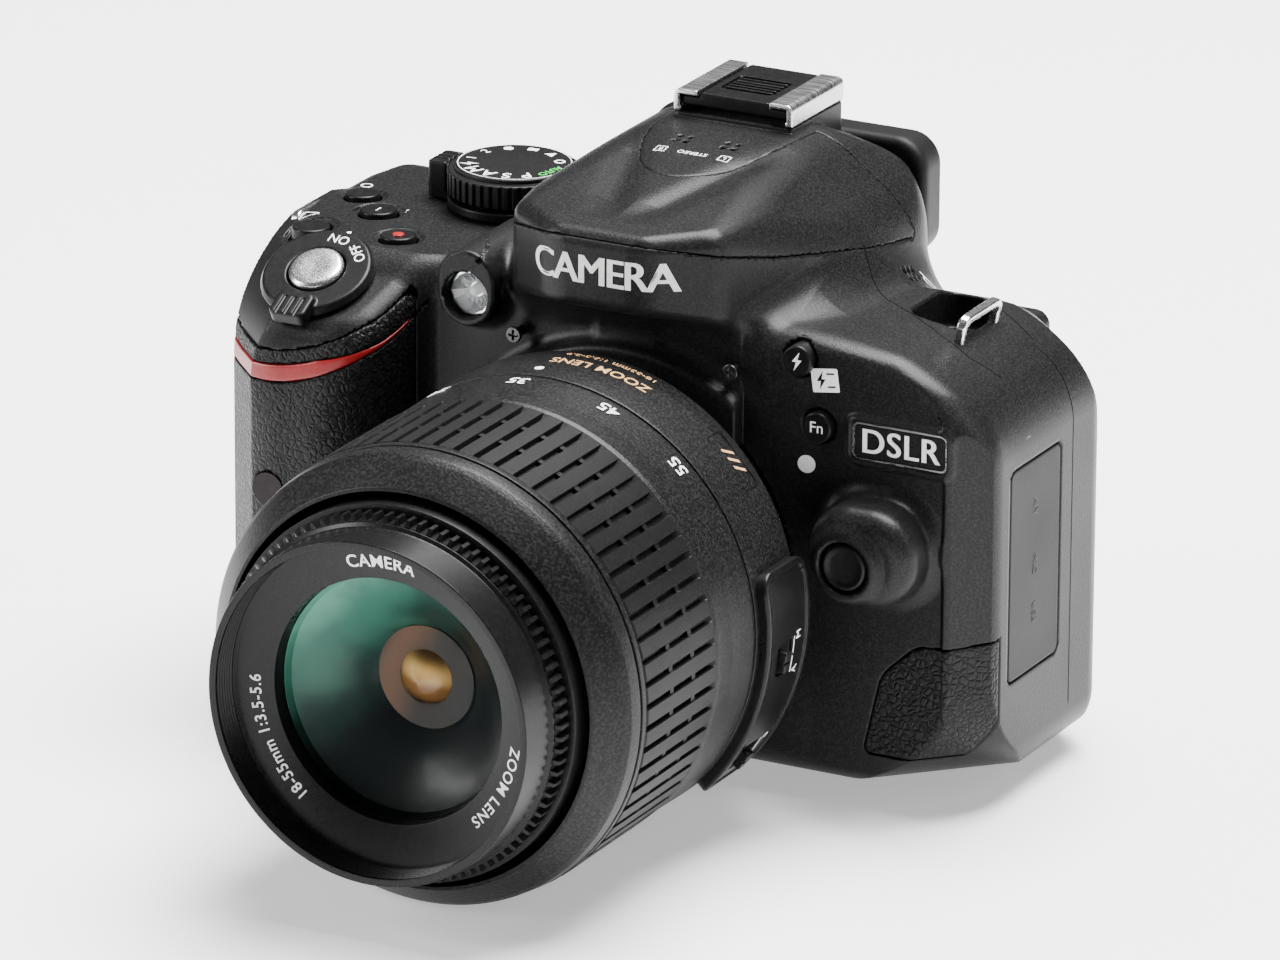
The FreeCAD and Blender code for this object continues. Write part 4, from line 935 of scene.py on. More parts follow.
def make_buttons():
    for name, (x, y, r) in TOP_BUTTONS.items():
        button(name, (x, y, skin_height(x, y) + 0.45), UP, r, 0.5)
    for name, (x, z, r) in FRONT_BUTTONS.items():
        button(name, (x, FRONT_Y + 0.2, z), FRONT, r, 0.8)
    for name, (x, z, r) in REAR_BUTTONS.items():
        button(name, (x, REAR_Y, z), REAR, r, 0.8)
    x, y, _ = TOP_BUTTONS["movie_button"]
    dot = [(0, 0.75), (0.9, 0.72), (1.0, 0.5), (0, 0.2)]
    turned("movie_dot", dot, (x, y, skin_height(x, y) + 0.3), UP, "red_gloss", "movie_button", 0.05, 40,
           replace=False)
    cap = [(0, 2.55), (2.5, 2.6), (3.9, 2.55), (4.35, 2.2), (4.5, 1.8), (4.5, -3.0), (0, -3.0)]
    turned("release_cap", cap, SHUTTER, SHUTTER_AXIS, "silver_cap", "shutter_button", 0.25, 96)
    knob = [(0, 8.2), (2.4, 8.3), (3.3, 8.6), (3.7, 8.4), (RELEASE_R, 7.9), (RELEASE_R, -5.0), (0, -5.0)]
    turned("lens_release_knob", knob, (RELEASE[0], FRONT_Y, RELEASE[1]), FRONT, "satin_black",
           "lens_release_button", 0.3, 72)
    pad = [(OK_GAP, 0.6), (4.2, 0.55), (6.5, 1.1), (8.6, 1.15), (9.3, 0.8), (9.5, 0.4), (9.5, -3.0),
           (OK_GAP, -3.0)]
    turned("selector_ring", pad, (SELECTOR[0], REAR_Y, SELECTOR[1]), REAR, "satin_black", "selector_pad",
           0.2, 80)
    ok = [(0, 0.8), (2.4, 0.95), (3.0, 0.9), (3.2, 0.6), (3.2, -2.4), (0, -2.4)]
    turned("ok_cap", ok, (SELECTOR[0], REAR_Y, SELECTOR[1]), REAR, "satin_black", "ok_button", 0.15, 56)


def switch_field(p):
    """Power switch: a low collar with a finger tab, about the release button."""
    u, v, h = about_shutter(*p)
    radius = np.hypot(u, v)
    collar = round_max(radius - 9.3 + np.maximum(h - 0.8, 0) * 0.6, slab(h, 0.3, 1.8), 0.3)
    sleeve = np.maximum(radius - 5.55, slab(h, -3.4, 0.8))
    body = np.minimum(collar, sleeve)
    tab = round_max(pill(u, v + 8.6, 3.2, 2.6, 1.2), slab(h, 0.3, 2.8), 0.5)
    for k in (-1.6, 0.0, 1.6):
        groove = np.hypot(u - k, h - 2.9) - 0.4
        tab = np.maximum(tab, -np.maximum(groove, v + 7.2))
    body = round_min(body, tab, 0.5)
    return round_max(body, 4.85 - radius, 0.25)


def dial_field(p):
    """Mode dial: knurled rim and a raised face."""
    x, y, z = p[0] - DIAL_X, p[1] - DIAL_Y, p[2]
    radius = np.hypot(x, y)
    angle = np.arctan2(y, x)
    tooth = np.abs(((angle / (2 * math.pi) * 44) % 1.0) - 0.5)
    groove = np.clip((tooth - 0.26) / 0.10, 0, 1) * 0.45
    low = np.clip((82.0 - z) / 0.8, 0, 1)
    rim = round_max(radius - DIAL_R + groove * low, slab(z, 78.0, 82.0), 0.35)
    face = round_max(radius - (DIAL_R - 1.2), slab(z, 81.0, 82.8), 0.3)
    shaft = np.maximum(radius - 2.5, slab(z, 71.5, 79.0))
    return np.minimum(np.minimum(rim, face), shaft)


def lever_field(p):
    """Live-view lever: a ring under the dial with an upright tab."""
    x, y, z = p[0] - DIAL_X, p[1] - DIAL_Y, p[2]
    radius = np.hypot(x, y)
    ring = np.maximum(round_max(radius - DIAL_R, slab(z, SHOULDER_Z + 0.3, SHOULDER_Z + 1.9), 0.3),
                      2.85 - radius)
    foot = round_max(pill(x + 12.0, y, 2.2, 3.2, 0.8), slab(z, SHOULDER_Z + 0.3, 77.2), 0.3)
    arm = round_max(pill(x + 12.0, y, 2.2, 3.2, 0.8), slab(z, SHOULDER_Z + 0.3, 82.0), 0.5)
    tall = round_max(arm, DIAL_R + 0.4 - radius, 0.3)
    for k in (-1.5, 0.0, 1.5):
        tall = np.maximum(tall, -np.maximum(np.hypot(y - k, z - 82.1) - 0.4, -1.0))
    return np.minimum(ring, np.minimum(foot, tall))


def wheel_field(p):
    x, y, z = p[0] - DIAL_WHEEL[0], p[1] - DIAL_WHEEL[1], p[2] - DIAL_WHEEL[2]
    radius = np.hypot(x, y)
    tooth = np.abs(((np.arctan2(y, x) / (2 * math.pi) * 30) % 1.0) - 0.5)
    rim = radius - 7.0 + np.clip((tooth - 0.25) / 0.12, 0, 1) * 0.4
    return np.minimum(round_max(rim, np.abs(z) - 1.7, 0.4), np.maximum(radius - 1.5, np.abs(z) - 3.1))


def make_controls():
    low, high = SHUTTER - np.array([9.5, 12.5, 7.0]), SHUTTER + np.array([9.5, 10.0, 8.0])
    add_field("power_switch_collar", switch_field, low, high, 0.2, "satin_black", "power_switch")
    low, high = (DIAL_X - 11.5, DIAL_Y - 11.5, 71), (DIAL_X + 11.5, DIAL_Y + 11.5, 83.5)
    add_field("mode_dial_knob", dial_field, low, high, 0.2, "dial_side", "mode_dial")
    add_field("live_view_tab", lever_field, (DIAL_X - 15, DIAL_Y - 11.5, 75),
              (DIAL_X + 11.5, DIAL_Y + 11.5, 83), 0.25, "satin_black", "live_view_lever")
    low, high = np.array(DIAL_WHEEL) - 8, np.array(DIAL_WHEEL) + 8
    add_field("command_wheel", wheel_field, low, high, 0.2, "dial_side", "command_dial")


# ---------------------------------------------------------------- fittings
def shoe_field(p):
    x, y, z = p
    ax = np.abs(x)
    seat = HUMP_Z + 0.05
    length = slab(y, 39.2, 57.4)
    plate = np.maximum(np.maximum(ax - 10.5, slab(z, seat, seat + 0.9)), np.minimum(43.0 - y, 9.2 - ax))
    wall = np.maximum(slab(ax, 9.4, 10.5), slab(z, seat, 98.0))
    rail = np.maximum(slab(ax, 6.35, 10.5), slab(z, 97.1, 98.0))
    bent = round_max(round_max(ax - 10.5, z - 98.0, 1.1), seat - z, 0.1)
    body = np.maximum(np.minimum(np.minimum(plate, wall), rail), bent)
    return round_max(body, length, 0.3)


def shoe_cover_field(p):
    x, y, z = p
    ax = np.abs(x)
    low = HUMP_Z + 1.05
    body = np.minimum(round_max(ax - 9.2, slab(z, low, 96.9), 0.3),
                      round_max(ax - 6.1, slab(z, low, 97.7), 0.4))
    grip = pill(x, y - 47.5, 4.6, 3.6, 0.6)
    body = np.maximum(body, -np.maximum(grip, 97.2 - z))
    for k in range(5):
        rib = np.maximum(np.abs(y - 44.9 - 1.3 * k) - 0.3, ax - 4.2)
        body = np.minimum(body, np.maximum(rib, slab(z, 97.0, 97.7)))
    return round_max(body, slab(y, 39.8, 57.4), 0.3)


def eyelet_field(centre, turn):
    """Flat-sided loop on a foot, leaning outward; turn is its angle about the y axis in degrees."""
    c, s = math.cos(math.radians(turn)), math.sin(math.radians(turn))

    def field(p):
        dx, dy, dz = p[0] - centre[0], p[1] - centre[1], p[2] - centre[2]
        u, w = dx * c - dz * s, dx * s + dz * c
        loop = pill(u - 1.75, dy, 3.25, 6.8, 2.0)
        hole = pill(u - 1.8, dy, 1.8, 5.4, 1.0)
        ring = round_max(round_max(loop, -hole, 0.4), np.abs(w) - 0.8, 0.4)
        foot = np.maximum(np.hypot(dy, w) - 1.6, slab(u, -4.5, -0.5))
        return round_min(ring, foot, 0.3)
    return field


def eyecup_field(p):
    x, y, z = p[0], p[1], p[2] - EYECUP_Z
    frame_outer = pill(x, z, EYECUP_HALF, 10.5, 5.5) + np.maximum(y - 60.0, 0) * 0.10
    body = round_max(frame_outer, slab(y, REAR_Y + 0.05, 66.0), 1.4)
    sight = pill(x, z, 12.0, 6.5, 2.0) - np.maximum(y - 62.0, 0) * 0.35
    return round_max(body, -sight, 0.8)


def screw_field(at, axis):
    """Cross-head screw."""
    axis, across, up = basis(axis)

    def field(p):
        d = [p[i] - at[i] for i in range(3)]
        h, u, v = (sum(d[i] * vector[i] for i in range(3)) for vector in (axis, across, up))
        head = round_max(np.hypot(u, v) - 1.3, slab(h, -0.9, -0.2), 0.15)
        cross = np.minimum(pill(u, v, 0.85, 0.17, 0.1), pill(u, v, 0.17, 0.85, 0.1))
        head = np.maximum(head, -np.maximum(cross, -0.65 - h))
        return np.minimum(head, np.maximum(np.hypot(u, v) - 0.75, slab(h, -4.3, -0.8)))
    return field


SCREWS = (
    ((-19.0, 1.6, 66.5), FRONT), ((19.0, 1.6, 66.5), FRONT),
    ((RIGHT_X, 21.5, 56.0), (1, 0, 0)), ((RIGHT_X, 21.0, 14.6), (1, 0, 0)),
    ((-30.0, 48.0, 0.0), (0, 0, -1)), ((40.0, 48.0, 0.0), (0, 0, -1)),
    ((-30.0, 22.0, 0.0), (0, 0, -1)), ((38.0, 26.0, 0.0), (0, 0, -1)),
)
EYELETS = (((48.2, 28.6, 69.3), -80.0), ((-65.2, 22.0, 70.5), -100.0))


def make_fittings():
    """Shoe, strap loops, eyecup, screws, lamp and monitor."""
    add_field("shoe_rails", shoe_field, (-11.5, 38, 93.5), (11.5, 58.5, 99), 0.25, "steel", "accessory_shoe")
    add_field("shoe_insert", shoe_cover_field, (-10, 38.5, 94.5), (10, 58.5, 98.5), 0.25, "satin_black",
              "shoe_cover")
    for i, (centre, turn) in enumerate(EYELETS):
        centre = np.array(centre)
        add_field("strap_loop_%d" % i, eyelet_field(centre, turn), centre - 8, centre + 8, 0.2,
                  "bright_steel", "strap_eyelets")
    add_field("eyecup_frame", eyecup_field, (-26, 57, 67), (26, 67, 90), 0.4, "soft_rubber", "eyecup")
    for i, (at, axis) in enumerate(SCREWS):
        at = np.array(at)
        add_field("screw_%d" % i, screw_field(at, axis), at - 5, at + 5, 0.15, "dark_steel", "body_screws")
    make_lamp()
    make_monitor()


def make_lamp():
    """Assist lamp: bright reflector, bulb and a faceted window."""
    at = (LAMP[0], FRONT_Y, LAMP[1])
    cup = [(0, 0.4), (1.2, 0.5), (3.3, 2.6), (3.65, 2.6), (3.65, -0.2), (0, -0.2)]
    turned("lamp_reflector", cup, at, FRONT, "lamp_mirror", "af_lamp", 0.0, 14, sharp=5)
    bulb = [(0, 2.2), (0.7, 1.9), (0.9, 1.2), (0.9, 0.3), (0, 0.3)]
    turned("lamp_bulb", bulb, at, FRONT, "white_mark", "af_lamp", 0.1, 24, replace=False)
    dome = [(0, 3.5), (1.5, 3.35), (2.8, 2.95), (3.6, 2.75), (3.6, 2.65), (0, 2.65)]
    turned("lamp_window", dome, at, FRONT, "clear_window", "af_lamp", 0.0, 10, replace=False, sharp=5)


def monitor_field(p):
    x, y, z = p
    body = round_max(pill(x - 10.0, z - 35.5, 35.0, 27.5, 2.5), slab(y, 53.5, 63.0), 0.9)
    room = np.maximum(pill(x - 10.0, z - 35.5, 32.5, 25.0, 0.5), 61.5 - y)
    body = round_max(body, -room, 0.25)
    notch = np.maximum(slab(x, 44.2, 47.0), np.maximum(np.abs(y - 58.0) - 2.6, slab(z, 27.9, 42.1)))
    return np.maximum(body, -notch)


def make_monitor():
    add_field("monitor_case", monitor_field, (-26, 52.5, 7), (46, 64, 64), 0.5, "body_paint", "monitor_shell")


# ---------------------------------------------------------------- lens
RIBS = 65
RUBBER = (-58.2, -35.6)


def relief_band(name, stations, angles, radius, inner, material, node):
    """Closed ring about the lens axis whose outer radius is a function of y and angle."""
    grid_y, grid_a = np.meshgrid(stations, angles, indexing="ij")
    r = radius(grid_y, grid_a)
    outside = np.stack([r * np.cos(grid_a), grid_y, AXIS_Z + r * np.sin(grid_a)], -1)
    bore = np.stack([inner * np.cos(grid_a), grid_y, AXIS_Z + inner * np.sin(grid_a)], -1)
    rows, columns = r.shape
    points = np.concatenate([outside.reshape(-1, 3), bore.reshape(-1, 3)])
    i, j = np.meshgrid(np.arange(rows - 1), np.arange(columns), indexing="ij")
    k = (j + 1) % columns
    size = rows * columns
    ring = [i * columns + j, (i + 1) * columns + j, (i + 1) * columns + k, i * columns + k]
    skin = np.stack(ring, -1).reshape(-1, 4)
    faces = [skin, skin[:, ::-1] + size]
    j = np.arange(columns)
    k = (j + 1) % columns
    faces.append(np.stack([j, k, k + size, j + size], 1))
    end = (rows - 1) * columns
    faces.append(np.stack([end + k, end + j, end + j + size, end + k + size], 1))
    return add_mesh(name, points, np.concatenate(faces), material, node, sharp=32)


def rib_radius(y, angle):
    """Ribbed rubber: broad ribs with narrow grooves, each groove crossed by two low bridges."""
    share = (angle / (2 * math.pi) * RIBS) % 1.0
    groove = np.minimum(np.clip((share - 0.04) / 0.05, 0, 1), np.clip((0.36 - share) / 0.05, 0, 1))
    depth = np.full_like(y, 1.0)
    for middle in (-42.8, -49.8):
        depth = np.where(np.abs(y - middle) < 0.55, 0.28, depth)
    depth = depth * np.clip((RUBBER[1] - 0.15 - y) / 1.3, 0, 1)
    depth = depth * np.clip((y - RUBBER[0] - 0.1) / 0.25, 0, 1)
    ends = 0.25 * np.clip(1.0 - np.minimum(y - RUBBER[0], RUBBER[1] - y) / 0.3, 0, 1)
    return 36.5 - 1.0 * groove * depth - ends


def make_rubber():
    stops = [RUBBER[0], RUBBER[0] + 0.1, RUBBER[0] + 0.35, RUBBER[0] + 0.5]
    for middle in (-49.8, -42.8):
        stops += [middle - 0.60, middle - 0.54, middle + 0.54, middle + 0.60]
    for start, end, count in ((-57.0, -51.0, 5), (-48.8, -44.0, 4), (-41.6, -37.4, 4)):
        stops += list(np.linspace(start, end, count))
    stops += [-37.0, -36.6, -36.2, -35.9, -35.75, RUBBER[1]]
    shares = (0.0, 0.04, 0.065, 0.09, 0.2, 0.31, 0.335, 0.36, 0.5, 0.68, 0.84)
    angles = np.array([(i + s) / RIBS * 2 * math.pi for i in range(RIBS) for s in shares])
    relief_band("zoom_grip", np.array(sorted(stops)), angles, rib_radius, 35.15, "ribbed_rubber",
                "zoom_rubber")


def knurl_radius(y, angle):
    share = (angle / (2 * math.pi) * 96) % 1.0
    tooth = np.minimum(np.clip((share - 0.10) / 0.10, 0, 1), np.clip((0.62 - share) / 0.10, 0, 1))
    shoulder = np.clip(np.minimum(y + 72.25, -69.55 - y) / 0.3, 0.2, 1)
    return 28.25 + 1.05 * tooth * shoulder


def make_lens():
    """Zoom ring, fixed barrel, inner barrel and focus ring, from the outside in."""
    barrel = [(-22.75, 36.4), (-23.4, 36.45), (-30.0, 36.3), (-34.6, 36.45), (-35.5, 36.2), (-35.5, 35.12),
              (-58.3, 35.12), (-58.3, 36.35), (-59.45, 36.35), (-59.5, 35.75), (-59.85, 35.75),
              (-59.9, 36.25), (-62.3, 35.95), (-63.2, 35.35), (-67.1, 31.95), (-67.2, 31.35),
              (-60.5, 31.35), (-60.5, 33.0), (-22.75, 33.0)]
    lens_ring("zoom_barrel", barrel, "lens_paint", "zoom_ring", 0.12, 300)
    make_rubber()
    tube = [(-22.35, 36.45), (-21.9, 36.5), (-12.0, 36.5), (-8.0, 36.0), (-2.0, 30.6), (-0.05, 29.6),
            (-0.05, 22.0), (-2.5, 22.0), (-2.5, 28.5), (-8.5, 34.3), (-22.35, 34.3)]
    lens_ring("lens_tube", tube, "lens_paint", "lens_barrel", 0.3, 300)
    guide = [(-58.0, 32.9), (-5.2, 32.9), (-5.2, 31.75), (-58.0, 31.75)]
    lens_ring("lens_guide", guide, "satin_black", "lens_barrel", 0.05, 160, replace=False)
    bayonet = [(-2.5, 21.8), (4.5, 21.8), (4.5, 19.5), (-2.5, 19.5)]
    lens_ring("lens_bayonet", bayonet, "steel", "lens_barrel", 0.1, 160, replace=False)
    inner = [(-69.2, 30.0), (-14.0, 30.0), (-14.0, 28.6), (-62.4, 28.6), (-62.4, 20.5), (-64.0, 20.5),
             (-64.0, 28.6), (-67.0, 28.6), (-67.0, 25.05), (-69.2, 25.05)]
    lens_ring("inner_tube", inner, "satin_black", "inner_barrel", 0.1, 240)
    threads = [(-79.5, 27.15), (-79.35, 27.3), (-73.0, 27.6), (-72.6, 28.2), (-69.5, 28.2), (-69.5, 25.05),
               (-66.5, 25.05), (-66.5, 19.6), (-72.9, 19.55), (-74.15, 25.2), (-74.3, 26.0)]
    for k in range(6):
        y = -74.6 - 0.75 * k
        threads += [(y, 26.02), (y - 0.2, 26.4), (y - 0.4, 26.4), (y - 0.6, 26.02)]
    threads += [(-79.4, 26.1)]
    lens_ring("front_ring", threads, "smooth_black", "focus_ring", 0.06, 300)
    knurl = np.array([-72.25, -72.1, -71.95, -70.9, -69.85, -69.7, -69.55])
    shares = (0.0, 0.10, 0.20, 0.36, 0.52, 0.62, 0.80)
    angles = np.array([(i + s) / 96 * 2 * math.pi for i in range(96) for s in shares])
    relief_band("focus_knurl", knurl, angles, knurl_radius, 28.0, "satin_black", "focus_ring")
    make_glass()
    make_switch_panel()


def make_glass():
    """Front dome and the elements and baffles behind it, painted with reflections and an amber highlight."""
    dome = [(-73.4, 0.0), (-73.3, 4.0), (-73.1, 8.0), (-72.6, 12.0), (-71.9, 15.0), (-71.1, 18.0),
            (-70.7, 19.4), (-70.2, 19.4), (-70.6, 15.0), (-71.4, 8.0), (-71.8, 0.0)]
    lens_ring("front_dome", dome, "front_glass", "front_element", 0.0, 160)
    # Shell behind the dome, painted with the teal-green reflection of the soft box
    bowl = [(-70.1, 19.3), (-68.8, 18.9), (-68.4, 17.6), (-66.8, 15.0), (-64.6, 12.0), (-62.4, 9.6),
            (-60.6, 8.4), (-60.4, 8.0), (-60.4, 19.45), (-70.1, 19.45)]
    lens_ring("reflection_bowl", bowl, "bowl_reflection_paint", "front_element", 0.0, 160, replace=False)
    # Disc painted with the brown reflection band
    halo = [(-60.9, 0.0), (-60.8, 8.2), (-59.9, 8.2), (-59.9, 0.0)]
    lens_ring("rear_halo", halo, "halo_reflection_paint", "front_element", 0.0, 96, replace=False)
    # Bead painted with the amber highlight
    bead = [(-63.4, 0.0), (-63.1, 1.8), (-62.4, 3.2), (-61.4, 4.2), (-60.7, 4.5), (-60.7, 0.0)]
    lens_ring("rear_element", bead, "amber_highlight_paint", "front_element", 0.0, 96, replace=False)


PANEL_ANGLE = -16.0
PANEL_Y = -14.5


def panel_coordinates(x, y, z):
    radius = np.hypot(x, z - AXIS_Z)
    angle = np.degrees(np.arctan2(z - AXIS_Z, x))
    return np.radians(angle - PANEL_ANGLE) * 37.5, y - PANEL_Y, radius


def panel_field(p):
    """Raised switch panel on the side of the lens."""
    u, v, radius = panel_coordinates(*p)
    plate = round_max(pill(u, v, 20.3, 7.0, 3.2), slab(radius, 35.0, 38.3), 0.5)
    face = np.maximum(pill(u, v, 19.1, 5.8, 2.4), 37.95 - radius)
    plate = round_max(plate, -face, 0.15)
    for angle in (-8.0, -36.0):
        slot = pill(u - math.radians(angle - PANEL_ANGLE) * 37.5, v + 0.5, 2.7, 2.5, 1.2)
        plate = round_max(plate, -np.maximum(slot, 37.2 - radius), 0.15)
    return plate


def switch_knob(angle):
    def field(p):
        u, v, radius = panel_coordinates(*p)
        u = u - math.radians(angle - PANEL_ANGLE) * 37.5
        knob = round_max(pill(u, v + 1.5, 1.7, 1.0, 0.5), slab(radius, 37.3, 39.1), 0.2)
        return np.maximum(knob, -np.maximum(np.abs(u) - 0.2, 38.8 - radius))
    return field


def make_switch_panel():
    add_field("switch_panel", panel_field, (20, -22, 0), (39.5, -7, 52), 0.35, "smooth_black", "lens_barrel",
              replace=False)
    for name, angle in (("af_switch", -8.0), ("stabiliser_switch", -36.0)):
        a = math.radians(angle)
        at = np.array([38.2 * math.cos(a), -16.0, AXIS_Z + 38.2 * math.sin(a)])
        add_field(name + "_knob", switch_knob(angle), at - 3, at + 3, 0.12, "satin_black", name)


# ---------------------------------------------------------------- printed marks
class Marks:
    """Printed or raised marks collected into one object per finish and moving part."""

    def __init__(self):
        self.groups = {}

    def add(self, key, points, triangles):
        points_list, faces_list, count = self.groups.get(key, ([], [], 0))
        points_list.append(points)
        faces_list.append(triangles + count)
        self.groups[key] = (points_list, faces_list, count + len(points))

    def build(self):
        for (material, node), (points, faces, _) in self.groups.items():
            add_mesh("marks_%s_%s" % (material, node), np.concatenate(points), np.concatenate(faces),
                     material, node, replace=False, sharp=30)


MARKS = Marks()


def lettering(text, size, thick=0.06, spacing=1.0, bold=0.0):
    """Points (u, v, height) and triangles of a line of text, centred."""
    curve = bpy.data.curves.new("lettering", "FONT")
    curve.body = text
    curve.size = size
    curve.extrude = thick / 2
    curve.offset = bold
    curve.align_x = "CENTER"
    curve.align_y = "CENTER"
    curve.space_character = spacing
    curve.resolution_u = 5
    return curve_mesh(curve)


def curve_mesh(curve):
    obj = bpy.data.objects.new("lettering", curve)
    bpy.context.scene.collection.objects.link(obj)
    bpy.context.view_layer.update()
    mesh = bpy.data.meshes.new_from_object(obj.evaluated_get(bpy.context.evaluated_depsgraph_get()))
    mesh.calc_loop_triangles()
    points = np.array([v.co for v in mesh.vertices], float).reshape(-1, 3)
    triangles = np.array([t.vertices for t in mesh.loop_triangles], int).reshape(-1, 3)
    bpy.data.objects.remove(obj)
    return points, triangles


def shape(outlines, thick=0.06):
    """Flat mark from closed outlines of (u, v) points; an outline inside another is a hole."""
    curve = bpy.data.curves.new("shape", "CURVE")
    curve.dimensions = "2D"
    curve.fill_mode = "BOTH"
    curve.extrude = thick / 2
    for points in outlines:
        spline = curve.splines.new("POLY")
        spline.points.add(len(points) - 1)
        for point, (u, v) in zip(spline.points, points):
            point.co = (u, v, 0.0, 1.0)
        spline.use_cyclic_u = True
    return curve_mesh(curve)


def circle(r, count=32, at=(0.0, 0.0)):
    return [(at[0] + r * math.cos(2 * math.pi * i / count), at[1] + r * math.sin(2 * math.pi * i / count))
            for i in range(count)]


def rounded(half_u, half_v, r, at=(0.0, 0.0)):
    points = []
    for k, (su, sv) in enumerate(((1, 1), (-1, 1), (-1, -1), (1, -1))):
        for step in range(6):
            angle = math.pi / 2 * (k + step / 5.0)
            points.append((at[0] + su * (half_u - r) + r * math.cos(angle),
                           at[1] + sv * (half_v - r) + r * math.sin(angle)))
    return points


BOLT = [(0.5, 1.6), (-0.8, -0.1), (-0.1, -0.1), (-0.5, -1.6), (0.8, 0.2), (0.1, 0.2)]


# The sides of the camera as (right, up) directions for marks
FRONT_FACE = ((1, 0, 0), (0, 0, 1))
SIDE_FACE = ((0, 1, 0), (0, 0, 1))
TOP_FACE = ((1, 0, 0), (0, 1, 0))
TOP_FROM_FRONT = ((-1, 0, 0), (0, -1, 0))
MARK_PROUD = 0.02


def laid_out(points, at, face, turn):
    """Points of a mark on its plane, and the direction out of that plane."""
    right, up = np.array(face[0], float), np.array(face[1], float)
    c, s = math.cos(math.radians(turn)), math.sin(math.radians(turn))
    u = points[:, 0] * c - points[:, 1] * s
    v = points[:, 0] * s + points[:, 1] * c
    return np.array(at) + np.outer(u, right) + np.outer(v, up), np.cross(right, up)


def flat(mark, key, at, face, turn=0.0):
    """Place a mark on a plane."""
    points, triangles = mark
    place, out = laid_out(points, at, face, turn)
    MARKS.add(key, place + np.outer(points[:, 2], out), triangles)


def on_skin(mark, key, at, face, turn=0.0):
    """Place a mark on the body's skin, pressed onto it from outside along its own axis."""
    points, triangles = mark
    place, out = laid_out(points, at, face, turn)
    place = place + out * 6.0
    for _ in range(40):
        distance = outer((place[:, 0], place[:, 1], place[:, 2]))
        place = place - out * (distance * 0.8)[:, None]
    MARKS.add(key, place + np.outer(points[:, 2] + MARK_PROUD, out), triangles)


def seam_line(points, key, at, face, half=0.11):
    """Fine dark line pressed onto the skin through (u, v) points."""
    points = np.array(points, float)
    dense = [points[:1]]
    for start, end in zip(points[:-1], points[1:]):
        count = max(2, int(np.linalg.norm(end - start) / 0.5))
        dense.append(start + (end - start) * np.arange(1, count + 1)[:, None] / count)
    dense = np.concatenate(dense)
    along = np.gradient(dense, axis=0)
    along /= np.linalg.norm(along, axis=1)[:, None]
    side = np.stack([-along[:, 1], along[:, 0]], 1) * half
    edges = np.stack([dense - side, dense + side], 1).reshape(-1, 2)
    k = np.arange(len(dense) - 1) * 2
    triangles = np.concatenate([np.stack([k, k + 2, k + 1], 1), np.stack([k + 1, k + 2, k + 3], 1)])
    on_skin((np.concatenate([edges, np.zeros((len(edges), 1))], 1), triangles), key, at, face)


def on_ring(mark, key, angle, y, radius):
    """Wrap a mark on a cylinder about the lens axis, read from behind the camera."""
    points, triangles = mark
    theta = math.radians(angle) + points[:, 0] / radius
    r = radius + points[:, 2] + MARK_PROUD
    place = np.stack([r * np.cos(theta), y - points[:, 1], AXIS_Z + r * np.sin(theta)], 1)
    MARKS.add(key, place, triangles)


def on_front_ring(mark, key, angle, radius):
    """Bend a mark round the sloping name ring, read clockwise from the front."""
    points, triangles = mark
    r = radius + points[:, 1]
    theta = math.radians(angle) - points[:, 0] / radius
    y = -72.9 - (r - 19.55) * 1.25 / 5.65 - points[:, 2] - 0.04
    MARKS.add(key, np.stack([r * np.cos(theta), y, AXIS_Z + r * np.sin(theta)], 1), triangles)


def bold_word(text, size, spacing, place, key, at):
    """Heavy lettering: one word struck three times, a little apart."""
    for k in (-1, 0, 1):
        place(lettering(text, size, 0.12 + 0.02 * k, spacing), key, at(k), FRONT_FACE)


def make_marks():
    """Name, plate, button signs and seams on the body, then the marks of each other group."""
    top, front = ("white_mark", "top_cover"), ("white_mark", "front_cover")
    bold_word("CAMERA", 6.6, 0.94, on_skin, top, lambda k: (0.6 + 0.16 * k, -6.6, 82.3))
    on_skin(shape([circle(1.45)]), front, (30.8, FRONT_Y, 52.5), FRONT_FACE)
    plate = shape([rounded(8.1, 3.0, 1.1), rounded(7.85, 2.75, 0.9)], 0.2)
    flat(plate, ("steel", "front_cover"), (PLATE[0], FRONT_Y + 0.65, PLATE[1]), FRONT_FACE)
    bold_word("DSLR", 5.6, 1.08, flat, front, lambda k: (PLATE[0] + 0.1 * k, FRONT_Y + 0.7, PLATE[1] - 0.1))
    bolt = [(u - 0.7, v) for u, v in BOLT]
    signs = [rounded(2.3, 1.9, 0.2), bolt, [(0.3, 0.9), (1.7, 0.9), (1.7, 1.2), (0.3, 1.2)],
             [(0.3, -1.2), (1.7, -1.2), (1.7, -0.9), (0.3, -0.9)]]
    on_skin(shape(signs), front, (33.8, FRONT_Y, 66.6), FRONT_FACE, 8.0)
    for name, sign in (("flash_button", shape([BOLT])), ("fn_button", lettering("Fn", 2.6))):
        x, z, _ = FRONT_BUTTONS[name]
        flat(sign, ("white_mark", name), (x, FRONT_Y - 0.46, z), FRONT_FACE)
    on_skin(lettering("STEREO", 1.5), top, (0.0, 25.6, HUMP_Z), TOP_FROM_FRONT)
    for x, letter in ((-5.6, "R"), (5.6, "L")):
        box = shape([rounded(0.95, 0.95, 0.1), rounded(0.8, 0.8, 0.1)])
        for sign in (box, lettering(letter, 1.3)):
            on_skin(sign, top, (x, 25.6, HUMP_Z), TOP_FROM_FRONT)
    make_seams()
    make_dial_marks()
    make_deck_marks()
    make_lens_marks()
    make_door_marks()
    MARKS.build()


